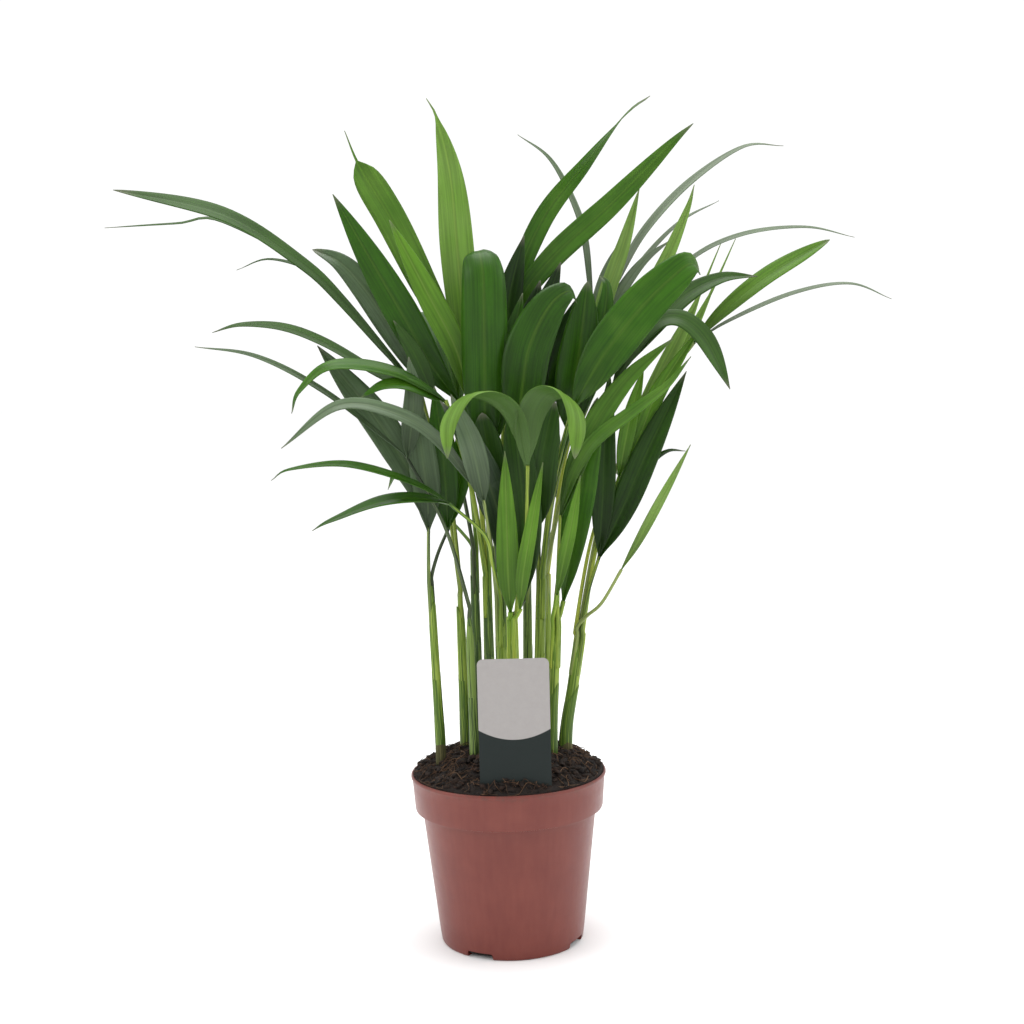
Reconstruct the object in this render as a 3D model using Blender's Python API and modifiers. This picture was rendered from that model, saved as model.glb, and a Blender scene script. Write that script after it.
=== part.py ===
"""Young areca palm in a plastic nursery pot.

Metres, +Z up, origin on the pot's axis at the face it stands on. The planting plan below is in millimetres:
seedling stems stand in the peat, and every leaf is a stalk that rises from the top of its stem and ends
in blades. A blade's points run from its root on the stalk to its tip, and these shape it:
- turn: heading of its width in plan, in degrees, 0 along X (broad from the front) and 90 or -90 edge on
- twist: how far the tip is turned about the blade's own length, in degrees
- cup: how far the margins hang, as a share of half its width
- blunt: how rounded the tip is, from 0, drawn out to a point, to 1, round
- tail: share of its length that has shrunk to a thread at the tip
- widest: where along its length it is widest, as a share
"""

import math
from collections import namedtuple

import bmesh
import bpy
from mathutils import Matrix, Vector

MM = 0.001
GAP = 0.3

POT_HEIGHT = 105.0
RIM_RADIUS = 60.0
RIM_BAND = 22.0
BODY_TOP_RADIUS = 53.5
FOOT_RADIUS = 44.0
WALL = 1.3
FLOOR = 1.6
POT_STEPS = 48
NOTCHES = 4
FIRST_NOTCH = -27.0
NOTCH_WIDTH = 17.0
NOTCH_HEIGHT = 4.0
NOTCH_DEPTH = 9.0

HEAP_HEIGHT = 17.0
HEAP_EDGE = 105.5
SOIL_RINGS = 7
SOIL_SEGMENTS = 36
SOCKET_FLOOR = 92.0
SOCKET_TALL = 50.0
SOCKET_SIDES = 10

LABEL_WIDTH = 42.0
LABEL_TOP = 184.0
LABEL_FOOT = 96.0
LABEL_THICK = 0.6
LABEL_CENTRE = (4.5, -49.0)
LABEL_CORNER = 3.5
CORNER_STEPS = 5

STALK_BASE = 1.2
STALK_TIP = 0.85
STALK_GAP = 0.5
BLADE_THICK = 0.7
BLADE_SEGMENTS = 8
BLADE_FOLD = 0.16
WIDEST_AT = 0.42
ROOT_SHARE = 0.14
THREAD = 0.75
ROOT_INSET = 2.2
ROOT_SPACING = 1.9

Stem = namedtuple("Stem", "x y top_x top_y top_z radius")
Blade = namedtuple(
    "Blade",
    "points width turn twist cup blunt tail widest",
    defaults=(0, 0.0, 0.0, 0.0, WIDEST_AT),
)
Leaf = namedtuple("Leaf", "stem stalk blades tone")

STEMS = {
    "west": Stem(-41, -8, -44, -9, 222, 2.4),
    "west_back": Stem(-26, 6, -27, 7, 215, 2.8),
    "west_front": Stem(-20, -17, -21, -18, 205, 2.4),
    "north_west": Stem(-18, 20, -18, 21, 236, 2.8),
    "inner_west": Stem(-10, 1, -10, 1, 224, 3.1),
    "north": Stem(-3, 17, -3, 18, 240, 2.9),
    "centre": Stem(-2, -11, -2, -12, 208, 2.8),
    "south": Stem(5, -26, 5, -26, 198, 2.8),
    "north_east": Stem(13, 26, 15, 28, 228, 2.8),
    "inner_east": Stem(19, 3, 23, 3, 222, 3.1),
    "east_back": Stem(24, 20, 27, 21, 222, 2.8),
    "east_front": Stem(27, -10, 31, -12, 194, 2.8),
    "east": Stem(36, 4, 46, 4, 186, 3.4),
}

LEAVES = {
    "left_long": Leaf(
        "west_back",
        [(-47, 11, 337)],
        [
            Blade(
                [(-92, 6, 393), (-117, 2, 418), (-160, -8, 446), (-221, -20, 461)],
                14.0, 50, blunt=0.2, widest=0.72,
            ),
            Blade(
                [(-80, 11, 378), (-110, 12, 413), (-164, 9, 444), (-190, 6, 443), (-232, 0, 441)],
                5.0, 52, widest=0.5,
            ),
            Blade([(-85, 14, 386), (-108, 15, 411), (-136, 15, 421), (-157, 15, 415)], 5.0, 55),
        ],
        "dark",
    ),
    "left_arch": Leaf(
        "west_back",
        [(-39, -5, 338)],
        [
            Blade(
                [(-66, -8, 347), (-103, -10, 369), (-127, -13, 379), (-150, -17, 381), (-167, -20, 377)],
                17.0, 42,
            ),
            Blade([(-50, -1, 362), (-62, 2, 382)], 12.0, 20),
        ],
        "dark",
    ),
    "left_fine": Leaf(
        "west_front",
        [(-56, -18, 302)],
        [
            Blade([(-100, -19, 339), (-140, -24, 362), (-176, -28, 369)], 7.0, 55),
            Blade([(-50, -20, 335), (-52, -21, 360)], 13.0, 10),
        ],
        "grey",
    ),
    "left_droop": Leaf(
        "inner_west",
        [(-31, -23, 334)],
        [
            Blade([(-60, -26, 351), (-96, -30, 356), (-115, -34, 342), (-120, -36, 329)], 12.5, 44),
            Blade([(-50, -28, 343), (-66, -31, 344), (-80, -34, 337)], 11.0, 40),
        ],
        "mid",
    ),
    "left_droop_low": Leaf(
        "centre",
        [(-10, -38, 276)],
        [
            Blade([(-35, -38, 311), (-60, -41, 328), (-92, -46, 333), (-124, -56, 310)], 10.5, 42),
            Blade([(-16, -42, 308), (-27, -47, 338)], 15.0, 10),
        ],
        "grey",
    ),
    "left_low": Leaf(
        "centre",
        [(-6, -38, 239), (-10, -43, 256), (-30, -43, 275)],
        [
            Blade([(-52, -43, 288), (-88, -44, 299), (-121, -45, 297), (-132, -46, 291)], 9.5, 50),
            Blade([(-48, -41, 278), (-70, -40, 276), (-99, -37, 266), (-111, -35, 260)], 17.0, 25),
        ],
        "mid",
    ),
    "left_broad": Leaf(
        "west",
        [(-44, -12, 258)],
        [
            Blade([(-49, -12, 280), (-61, -12, 304), (-76, -12, 328), (-107, -8, 368)], 20.0, 22, widest=0.5),
            Blade([(-44, -13, 278), (-46, -13, 298), (-50, -13, 342)], 18.0, 0),
        ],
        "grey",
    ),
    "west_inner": Leaf(
        "west",
        [(-32, -6, 257)],
        [
            Blade([(-34, -9, 300), (-38, -11, 342)], 18.0, 0),
            Blade([(-24, -2, 292), (-19, 0, 332)], 14.0, -10),
        ],
        "mid",
    ),
    "left_grey": Leaf(
        "north_west",
        [(-42, 20, 338)],
        [
            Blade(
                [(-69, 24, 384), (-83, 25, 405), (-96, 26, 419), (-112, 27, 427)],
                20.0, 30, blunt=0.3, widest=0.55,
            ),
            Blade([(-54, 28, 366), (-76, 31, 396)], 13.0, 30),
        ],
        "grey",
    ),
    "left_tall": Leaf(
        "north",
        [(-25, 14, 334)],
        [
            Blade(
                [(-28, 17, 368), (-46, 20, 408), (-63, 22, 444), (-81, 22, 476), (-89, 20, 497)],
                20.0, 8, twist=10, blunt=1.0, tail=0.12, widest=0.72,
            ),
            Blade([(-40, 9, 354), (-57, 6, 386), (-72, 2, 414), (-95, -4, 457)], 21.0, 8),
        ],
        "mid",
    ),
    "bright": Leaf(
        "inner_west",
        [(-18, 3, 333)],
        [
            Blade([(-25, 2, 364), (-43, -1, 402), (-62, -4, 441)], 16.0, 5),
            Blade(
                [(-20, 12, 378), (-23, 16, 426), (-26, 19, 470), (-33, 20, 503), (-39, 21, 515)],
                21.0, 0, blunt=0.25, tail=0.07, widest=0.5,
            ),
        ],
        "bright",
    ),
    "round_top": Leaf(
        "inner_west",
        [(-9, -9, 300)],
        [
            Blade(
                [(-8, -14, 340), (-7, -22, 398), (-8, -18, 415), (-10, -8, 421), (-12, 2, 412)],
                28.0, 0, cup=0.5, blunt=0.95,
            ),
            Blade([(3, -8, 345), (16, -5, 396)], 18.0, -5),
        ],
        "mid",
    ),
    "dark_fold": Leaf(
        "north",
        [(10, 19, 332)],
        [
            Blade([(8, 20, 362), (8, 21, 393), (18, 22, 432)], 19.0, -5),
            Blade([(20, 18, 362), (40, 19, 415)], 18.0, -10),
        ],
        "dark",
    ),
    "right_tall": Leaf(
        "north",
        [(6, 32, 350)],
        [
            Blade(
                [(8, 34, 390), (29, 36, 441), (57, 37, 476), (83, 38, 506), (98, 39, 516)],
                13.0, -10, twist=150, blunt=0.2, widest=0.45,
            ),
            Blade(
                [(14, 28, 390), (35, 26, 418), (72, 24, 450), (109, 21, 485), (122, 20, 496)],
                15.0, -10, twist=25, blunt=0.1, widest=0.5,
            ),
        ],
        "mid",
    ),
    "crook": Leaf(
        "north_east",
        [(61, 56, 380)],
        [
            Blade([(57, 58, 428), (50, 59, 455), (36, 61, 482), (16, 64, 498)], 7.0, 45),
            Blade([(68, 60, 405), (76, 62, 425)], 8.0, -20),
        ],
        "grey",
    ),
    "light_pair": Leaf(
        "east_back",
        [(60, 46, 350)],
        [
            Blade([(67, 46, 389), (81, 46, 428), (91, 46, 461)], 11.0, -8),
            Blade([(84, 45, 380), (104, 44, 411), (120, 44, 446), (125, 44, 462)], 10.5, -12),
        ],
        "bright",
    ),
    "far_right": Leaf(
        "north_east",
        [(59, 70, 368)],
        [
            Blade([(81, 70, 412), (98, 70, 439), (126, 71, 467), (160, 73, 488), (186, 74, 488)], 7.0, -42),
            Blade([(90, 68, 412), (112, 68, 430)], 8.0, -15),
            Blade([(90, 75, 412), (118, 77, 441), (145, 79, 455)], 5.0, -42),
        ],
        "grey",
    ),
    "broad_fold": Leaf(
        "inner_east",
        [(44, -17, 328)],
        [
            Blade(
                [(62, -19, 357), (84, -21, 384), (103, -21, 402), (115, -17, 410), (121, -9, 404)],
                27.0, -12, blunt=0.7,
            ),
        ],
        "mid",
    ),
    "right_fan": Leaf(
        "east",
        [(87, 17, 322), (120, 15, 364)],
        [
            Blade([(137, 14, 382), (166, 14, 404), (203, 14, 424)], 12.5, -35, blunt=0.35, widest=0.6),
            Blade([(139, 9, 376), (178, 5, 392), (212, 2, 397), (237, 0, 387)], 4.0, -50),
        ],
        "grey",
    ),
    "right_over": Leaf(
        "east_back",
        [(82, 32, 378)],
        [
            Blade([(117, 28, 413), (150, 26, 429), (190, 27, 433), (221, 28, 426)], 4.2, -50),
        ],
        "grey",
    ),
    "right_dark": Leaf(
        "east_front",
        [(42, 5, 262), (70, 1, 342)],
        [
            Blade([(82, 3, 361), (110, 7, 389), (135, 8, 402), (158, 8, 403)], 16.0, -30),
            Blade([(90, -2, 371), (107, -3, 379), (123, -8, 367), (137, -18, 336)], 14.0, -42, widest=0.65),
        ],
        "dark",
    ),
    "light_tips": Leaf(
        "east",
        [(73, 26, 291)],
        [
            Blade([(90, 29, 325), (106, 32, 355), (122, 34, 385), (140, 36, 425)], 10.0, -12, tail=0.2),
            Blade([(102, 36, 338), (118, 38, 365), (134, 40, 395), (150, 42, 428)], 8.5, -15, tail=0.2),
        ],
        "bright",
    ),
    "centre_pair": Leaf(
        "centre",
        [(10, -15, 312)],
        [
            Blade(
                [(14, -18, 338), (19, -20, 364), (31, -19, 387), (43, -14, 396), (48, -7, 389)],
                28.0, -5, cup=0.2, blunt=0.3,
            ),
        ],
        "mid",
    ),
    "centre_right": Leaf(
        "inner_east",
        [(42, 0, 312)],
        [
            Blade([(45, -3, 336), (50, -3, 367), (55, -2, 402)], 26.0, 0, blunt=0.2),
            Blade([(56, 5, 350), (65, 6, 382), (67, 9, 400), (63, 15, 406)], 17.0, -10),
        ],
        "mid",
    ),
    "right_mid": Leaf(
        "east_front",
        [(35, -18, 264)],
        [
            Blade(
                [(44, -22, 290), (56, -25, 308), (77, -28, 324), (98, -29, 339), (113, -29, 356)],
                9.0, -35,
            ),
            Blade([(46, -17, 296), (60, -16, 322), (79, -16, 346), (104, -18, 367)], 14.0, -15),
        ],
        "mid",
    ),
    "right_bright": Leaf(
        "east",
        [(73, 11, 285)],
        [
            Blade([(84, 10, 305), (97, 8, 335), (122, 6, 372)], 11.0, -12),
            Blade([(79, 4, 318), (88, 2, 350)], 10.0, -5),
        ],
        "bright",
    ),
    "right_deep": Leaf(
        "east",
        [(59, 3, 236)],
        [
            Blade([(62, 4, 275), (64, 8, 305), (68, 11, 348)], 15.0, 0),
            Blade([(74, 4, 265), (90, 4, 300), (114, 5, 347)], 18.0, -15),
            Blade([(70, 10, 256), (89, 14, 287), (102, 15, 298), (114, 16, 298)], 7.0, -30),
        ],
        "dark",
    ),
    "right_outer": Leaf(
        "east",
        [(59, -14, 210), (71, -16, 230)],
        [
            Blade([(81, -15, 246), (96, -17, 273), (113, -20, 304)], 6.0, -10),
        ],
        "bright",
    ),
    "right_inner": Leaf(
        "east_front",
        [(36, -10, 211)],
        [
            Blade([(42, -10, 245), (50, -10, 290), (59, -11, 333)], 19.0, -5, blunt=0.3, widest=0.55),
        ],
        "mid",
    ),
    "inner_east_low": Leaf(
        "east_front",
        [(32, -18, 216)],
        [
            Blade([(36, -22, 236), (41, -26, 258), (47, -29, 288)], 8.0, -5),
        ],
        "bright",
    ),
    "front_arch": Leaf(
        "south",
        [(14, -30, 250), (16, -47, 296)],
        [
            Blade(
                [(9, -54, 325), (-3, -58, 337), (-18, -64, 337), (-28, -70, 323), (-29, -75, 303)],
                18.0, 140, twist=-100, cup=0.25, blunt=0.2,
            ),
            Blade(
                [(17, -52, 322), (25, -56, 337), (37, -62, 337), (44, -69, 324), (42, -75, 301)],
                20.0, 205, twist=105, cup=0.25, blunt=0.25,
            ),
        ],
        "mid",
    ),
    "front_upright": Leaf(
        "south",
        [(4, -29, 208)],
        [
            Blade([(3, -31, 232), (3, -33, 258), (3, -36, 304)], 13.5, 0, widest=0.32),
        ],
        "bright",
    ),
    "front_slim": Leaf(
        "south",
        [(10, -30, 210)],
        [
            Blade([(12, -35, 232), (17, -38, 258), (25, -38, 297)], 9.0, -5, widest=0.34),
        ],
        "bright",
    ),
    "grey_left": Leaf(
        "centre",
        [(1, -20, 236)],
        [
            Blade([(-3, -22, 271), (-17, -26, 308), (-34, -29, 334)], 19.0, 10),
        ],
        "grey",
    ),
    "grey_middle": Leaf(
        "centre",
        [(-4, -14, 256)],
        [
            Blade([(-5, -17, 285), (-7, -18, 305), (-10, -17, 326)], 22.0, 0, blunt=0.5),
        ],
        "dark",
    ),
    "grey_right": Leaf(
        "south",
        [(12, -21, 214)],
        [
            Blade([(14, -24, 254), (11, -24, 297), (8, -22, 330)], 21.0, 0, blunt=0.5, widest=0.5),
        ],
        "dark",
    ),
    "grey_far": Leaf(
        "inner_east",
        [(21, -16, 256)],
        [
            Blade([(24, -20, 291), (28, -20, 312), (33, -19, 332)], 20.0, -5, blunt=0.4),
        ],
        "dark",
    ),
    "centre_back": Leaf(
        "inner_east",
        [(23, 7, 318)],
        [
            Blade([(20, 9, 350), (20, 11, 375), (27, 12, 404)], 22.0, -5),
            Blade([(32, 9, 346), (40, 11, 368), (50, 14, 394)], 19.0, -10),
        ],
        "dark",
    ),
    "back_left": Leaf(
        "north_west",
        [(-26, 48, 330)],
        [
            Blade([(-38, 72, 372), (-56, 104, 388), (-72, 140, 365)], 14.0, 30),
            Blade([(-20, 72, 372), (-22, 100, 401), (-26, 135, 396)], 14.0, 2),
        ],
        "mid",
    ),
    "back_middle": Leaf(
        "north",
        [(-2, 50, 345)],
        [
            Blade([(-4, 80, 388), (-6, 110, 408), (-8, 145, 392)], 15.0, 0),
            Blade([(8, 78, 380), (18, 105, 396), (28, 135, 378)], 14.0, -15),
        ],
        "dark",
    ),
    "back_right": Leaf(
        "north_east",
        [(32, 62, 330)],
        [
            Blade([(46, 86, 366), (61, 116, 382), (80, 152, 358)], 14.0, -25),
            Blade([(30, 88, 370), (35, 116, 388), (42, 148, 370)], 13.0, 0),
        ],
        "mid",
    ),
    "back_low_left": Leaf(
        "north_west",
        [(-36, 38, 260)],
        [
            Blade([(-46, 60, 290), (-62, 90, 300), (-78, 120, 270)], 11.0, 30),
            Blade([(-34, 60, 296), (-38, 88, 312), (-40, 116, 292)], 11.0, 5),
        ],
        "mid",
    ),
    "back_low_right": Leaf(
        "east_back",
        [(38, 48, 262)],
        [
            Blade([(50, 68, 290), (64, 94, 300), (80, 124, 275)], 11.0, -30),
            Blade([(34, 68, 296), (34, 94, 310), (34, 120, 290)], 11.0, -5),
        ],
        "dark",
    ),
}

TONES = {
    "dark": (0.026, 0.075, 0.016),
    "mid": (0.050, 0.135, 0.022),
    "bright": (0.120, 0.270, 0.020),
    "grey": (0.080, 0.150, 0.060),
}


def clear_scene():
    for thing in list(bpy.data.objects):
        bpy.data.objects.remove(thing, do_unlink=True)


def new_collection(name, hidden=False):
    group = bpy.data.collections.new(name)
    bpy.context.scene.collection.children.link(group)
    group.hide_render = hidden
    return group


def principled(name, colour, roughness, metallic=0.0):
    material = bpy.data.materials.new(name)
    material.use_nodes = True
    shader = material.node_tree.nodes["Principled BSDF"]
    shader.inputs["Base Color"].default_value = (*colour, 1.0)
    shader.inputs["Roughness"].default_value = roughness
    shader.inputs["Metallic"].default_value = metallic
    return material


def as_object(name, data, group):
    thing = bpy.data.objects.new(name, data)
    group.objects.link(thing)
    return thing


def mesh_from(name, shape):
    mesh = bpy.data.meshes.new(name)
    shape.to_mesh(mesh)
    shape.free()
    return mesh


def as_cutter(thing):
    thing.hide_render = True
    thing.display_type = "WIRE"
    return thing


def pot_profile():
    """Radius and height in millimetres: from the axis under the floor, up the outside, back down inside."""
    shoulder = POT_HEIGHT - RIM_BAND
    return [
        (0.0, 0.0),
        (FOOT_RADIUS - 1.5, 0.0),
        (FOOT_RADIUS, 1.5),
        (BODY_TOP_RADIUS, shoulder - 4.0),
        (BODY_TOP_RADIUS + 3.5, shoulder - 1.5),
        (RIM_RADIUS - 1.2, shoulder + 2.5),
        (RIM_RADIUS, POT_HEIGHT - 1.0),
        (RIM_RADIUS - 0.6, POT_HEIGHT),
        (RIM_RADIUS - WALL - 0.2, POT_HEIGHT - 0.4),
        (RIM_RADIUS - WALL - 1.2, shoulder + 3.2),
        (BODY_TOP_RADIUS - WALL, shoulder - 3.0),
        (FOOT_RADIUS - WALL, FLOOR),
        (0.0, FLOOR),
    ]


def inner_radius(height):
    """The pot's inner wall at a height, in millimetres."""
    wall = pot_profile()[8:12]
    for (high_radius, high), (low_radius, low) in zip(wall, wall[1:]):
        if height >= low:
            share = min(1.0, (height - low) / (high - low))
            return low_radius + share * (high_radius - low_radius)
    return wall[-1][0]


def add_boolean(thing, cutter):
    cut = thing.modifiers.new("cut", "BOOLEAN")
    cut.operation = "DIFFERENCE"
    cut.solver = "EXACT"
    cut.object = cutter


def add_pot(group, cutters):
    shape = bmesh.new()
    corners = [shape.verts.new((r * MM, 0.0, z * MM)) for r, z in reversed(pot_profile())]
    for one, other in zip(corners, corners[1:]):
        shape.edges.new((one, other))
    pot = as_object("pot", mesh_from("pot", shape), group)
    turn = pot.modifiers.new("turn", "SCREW")
    turn.steps = POT_STEPS
    turn.render_steps = POT_STEPS
    turn.use_merge_vertices = True
    turn.merge_threshold = 0.00005
    add_boolean(pot, add_notch_cutter(cutters))
    pot.data.materials.append(principled("terracotta_plastic", (0.30, 0.085, 0.050), 0.5))
    return pot


def add_notch_cutter(cutters):
    """Boxes at the foot, which open the wall and the edge of the floor for draining."""
    shape = bmesh.new()
    for number in range(NOTCHES):
        around = math.radians(FIRST_NOTCH + number * 360.0 / NOTCHES)
        out = FOOT_RADIUS + 2.0 - NOTCH_DEPTH / 2.0
        place = (
            Matrix.Rotation(around, 4, "Z")
            @ Matrix.Translation((0.0, -out * MM, (NOTCH_HEIGHT / 2.0 - 1.0) * MM))
            @ Matrix.Diagonal((NOTCH_WIDTH * MM, NOTCH_DEPTH * MM, (NOTCH_HEIGHT + 2.0) * MM, 1.0))
        )
        bmesh.ops.create_cube(shape, size=1.0, matrix=place)
    return as_cutter(as_object("notch_cutter", mesh_from("notch_cutter", shape), cutters))


def heap(x, y):
    """Height of the peat in millimetres: a broad heap with low lumps."""
    reach = min(1.0, math.hypot(x, y) / inner_radius(HEAP_EDGE))
    lumps = math.sin(0.31 * x + 1.3) * math.cos(0.27 * y - 0.4) + 0.6 * math.sin(0.17 * x - 0.45 * y)
    return HEAP_EDGE + HEAP_HEIGHT * (1.0 - reach**4) + 1.4 * lumps * (1.0 - reach**6)


def add_soil(group, cutters):
    """The root ball: the pot's inside less a gap, under the heap."""
    shape = bmesh.new()
    rings = []
    edge = inner_radius(HEAP_EDGE) - GAP
    for ring in range(SOIL_RINGS, 0, -1):
        radius = edge * ring / SOIL_RINGS
        rings.append(soil_ring(shape, radius, lambda x, y: heap(x, y)))
    sides = [100.0, POT_HEIGHT - RIM_BAND + 3.2, POT_HEIGHT - RIM_BAND - 3.0, FLOOR + GAP]
    for height in sides:
        level = soil_ring(shape, inner_radius(height) - 2.0 * GAP, lambda x, y: height)
        rings.insert(0, level)
    for lower, upper in zip(rings, rings[1:]):
        for number in range(SOIL_SEGMENTS):
            after = (number + 1) % SOIL_SEGMENTS
            shape.faces.new((lower[number], lower[after], upper[after], upper[number]))
    top = shape.verts.new((0.0, 0.0, heap(0.0, 0.0) * MM))
    for number in range(SOIL_SEGMENTS):
        shape.faces.new((rings[-1][number], rings[-1][(number + 1) % SOIL_SEGMENTS], top))
    shape.faces.new(list(reversed(rings[0])))
    soil = as_object("soil", mesh_from("soil", shape), group)
    add_boolean(soil, add_socket_cutter(cutters))
    soil.data.materials.append(principled("peat", (0.020, 0.012, 0.009), 1.0))
    return soil


def soil_ring(shape, radius, height_at):
    ring = []
    for number in range(SOIL_SEGMENTS):
        angle = 2.0 * math.pi * number / SOIL_SEGMENTS
        x = radius * math.cos(angle)
        y = radius * math.sin(angle)
        ring.append(shape.verts.new((x * MM, y * MM, height_at(x, y) * MM)))
    return ring


def add_socket_cutter(cutters):
    """A socket for each stem and a slot for the label's foot, each with the gap all round."""
    shape = bmesh.new()
    for stem in STEMS.values():
        bmesh.ops.create_cone(
            shape,
            cap_ends=True,
            segments=SOCKET_SIDES,
            radius1=(stem.radius + 2.0 * GAP) * MM,
            radius2=(stem.radius + 2.0 * GAP) * MM,
            depth=SOCKET_TALL * MM,
            matrix=Matrix.Translation((stem.x * MM, stem.y * MM, (SOCKET_FLOOR + SOCKET_TALL / 2.0) * MM)),
        )
    across, back = LABEL_CENTRE
    middle = Vector((across, back, LABEL_FOOT - GAP + SOCKET_TALL / 2.0)) * MM
    size = Vector((LABEL_WIDTH + 2.0 * GAP, LABEL_THICK + 2.0 * GAP, SOCKET_TALL)) * MM
    place = Matrix.Translation(middle) @ Matrix.Diagonal((*size, 1.0))
    bmesh.ops.create_cube(shape, size=1.0, matrix=place)
    return as_cutter(as_object("socket_cutter", mesh_from("socket_cutter", shape), cutters))


def add_label(group):
    """A plastic card with two rounded upper corners, standing in its slot."""
    half = LABEL_WIDTH / 2.0
    outline = [(-half, LABEL_FOOT), (half, LABEL_FOOT)]
    for side, first in ((1.0, 0.0), (-1.0, 90.0)):
        for step in range(CORNER_STEPS + 1):
            angle = math.radians(first + 90.0 * step / CORNER_STEPS)
            x = side * (half - LABEL_CORNER) + LABEL_CORNER * math.cos(angle)
            outline.append((x, LABEL_TOP - LABEL_CORNER + LABEL_CORNER * math.sin(angle)))
    data = bpy.data.curves.new("label", "CURVE")
    data.dimensions = "2D"
    data.fill_mode = "BOTH"
    data.extrude = LABEL_THICK / 2.0 * MM
    line = data.splines.new("POLY")
    line.points.add(len(outline) - 1)
    for point, (x, z) in zip(line.points, outline):
        point.co = (x * MM, z * MM, 0.0, 1.0)
    line.use_cyclic_u = True
    label = as_object("label", data, group)
    label.rotation_euler = (math.radians(90.0), 0.0, 0.0)
    label.location = (LABEL_CENTRE[0] * MM, LABEL_CENTRE[1] * MM, 0.0)
    data.materials.append(principled("label_card", (0.58, 0.55, 0.53), 0.4))
    return label


def smooth_line(points, steps):
    """A Catmull-Rom line through the points, with its samples evenly spaced along it."""
    ends = [2 * points[0] - points[1], *points, 2 * points[-1] - points[-2]]
    fine = []
    for a, b, c, d in zip(ends, ends[1:], ends[2:], ends[3:]):
        for step in range(12):
            t = step / 12.0
            bend = (2 * a - 5 * b + 4 * c - d) * t * t + (3 * b - a - 3 * c + d) * t**3
            fine.append(b + 0.5 * ((c - a) * t + bend))
    fine.append(points[-1])
    reach = [0.0]
    for one, other in zip(fine, fine[1:]):
        reach.append(reach[-1] + (other - one).length)
    line = []
    at = 0
    for step in range(steps + 1):
        goal = reach[-1] * step / steps
        while at < len(fine) - 2 and reach[at + 1] < goal:
            at += 1
        share = (goal - reach[at]) / (reach[at + 1] - reach[at])
        line.append(fine[at].lerp(fine[at + 1], share))
    return line


def add_tube(name, points, radii, group, sides):
    """A round tube with capped ends, made a mesh so that it can be united with blades."""
    data = bpy.data.curves.new(name, "CURVE")
    data.dimensions = "3D"
    data.bevel_depth = MM
    data.bevel_resolution = sides // 2 - 2
    data.use_fill_caps = True
    line = data.splines.new("POLY")
    line.points.add(len(points) - 1)
    for place, point, radius in zip(line.points, points, radii):
        place.co = (*(point * MM), 1.0)
        place.radius = radius
    wire = as_object(name + "_line", data, group)
    graph = bpy.context.evaluated_depsgraph_get()
    mesh = bpy.data.meshes.new_from_object(wire.evaluated_get(graph))
    mesh.name = name
    bpy.data.objects.remove(wire, do_unlink=True)
    shape = bmesh.new()
    shape.from_mesh(mesh)
    bmesh.ops.remove_doubles(shape, verts=shape.verts, dist=0.00001)
    shape.to_mesh(mesh)
    shape.free()
    mesh.shade_smooth()
    return as_object(name, mesh, group)


def add_stem(name, stem, group):
    """The seedling's cane of rolled leaf sheaths, from its socket in the peat to where its stalks part."""
    foot = Vector((stem.x, stem.y, SOCKET_FLOOR + GAP))
    soil_line = Vector((stem.x, stem.y, HEAP_EDGE + HEAP_HEIGHT + 2.0))
    top = Vector((stem.top_x, stem.top_y, stem.top_z))
    points = [foot, *smooth_line([soil_line, soil_line.lerp(top, 0.5), top], 4)]
    stalks = sum(leaf.stem == name for leaf in LEAVES.values())
    crown = (STALK_BASE + STALK_GAP / 2.0) / math.sin(math.pi / max(2, stalks)) + STALK_BASE
    radii = [stem.radius + (crown - stem.radius) * share for share in (0.0, 0.0, 0.0, 0.1, 0.4, 1.0)]
    thing = add_tube("stem_" + name, points, radii, group, 8)
    thing.data.materials.append(principled("stem_" + name, (0.10, 0.20, 0.035), 0.5))
    return thing


def stalk_feet(stem_name):
    """Where each leaf of a stem starts: spread round the stem's top in the order the leaves head off."""
    stem = STEMS[stem_name]
    top = Vector((stem.top_x, stem.top_y, stem.top_z + GAP))
    rise = top - Vector((stem.x, stem.y, HEAP_EDGE + HEAP_HEIGHT))
    own = [name for name, leaf in LEAVES.items() if leaf.stem == stem_name]
    ways = {name: Vector(LEAVES[name].stalk[0]) - top for name in own}
    own.sort(key=lambda name: math.atan2(ways[name].y, ways[name].x))
    total = Vector((0.0, 0.0))
    for number, name in enumerate(own):
        angle = math.atan2(ways[name].y, ways[name].x) - 2.0 * math.pi * number / len(own)
        total += Vector((math.cos(angle), math.sin(angle)))
    first = math.atan2(total.y, total.x)
    ring = (STALK_BASE + STALK_GAP / 2.0) / math.sin(math.pi / len(own)) if len(own) > 1 else 0.0
    feet = {}
    for number, name in enumerate(own):
        angle = first + 2.0 * math.pi * number / len(own)
        side = Vector((math.cos(angle), math.sin(angle), 0.0))
        side.z = -side.dot(rise) / rise.z
        feet[name] = top + ring * side
    return feet


def stalk_line(foot, stalk):
    """Rises straight out of the stem and leans over to the stalk's own points."""
    first = Vector(stalk[0])
    early = foot + Vector((0.0, 0.0, 6.0))
    knee = foot.lerp(first, 0.5)
    knee.z += 0.06 * (first - foot).length
    knee.x -= 0.12 * (first.x - foot.x)
    knee.y -= 0.12 * (first.y - foot.y)
    return [foot, *smooth_line([early, knee, *(Vector(point) for point in stalk)], 5 + len(stalk))]


def blade_share(t, blade):
    """Half width at a share of the blade's length, as a share of its widest: slim root, then its own tip."""
    if t < blade.widest:
        return ROOT_SHARE + (1.0 - ROOT_SHARE) * math.sin(0.5 * math.pi * t / blade.widest) ** 1.1
    s = min(1.0, (t - blade.widest) / (1.0 - blade.tail - blade.widest))
    drawn_out = math.cos(0.5 * math.pi * s) ** 0.85
    rounded = math.sqrt(1.0 - s**3.5)
    return drawn_out + blade.blunt * (rounded - drawn_out)


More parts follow.
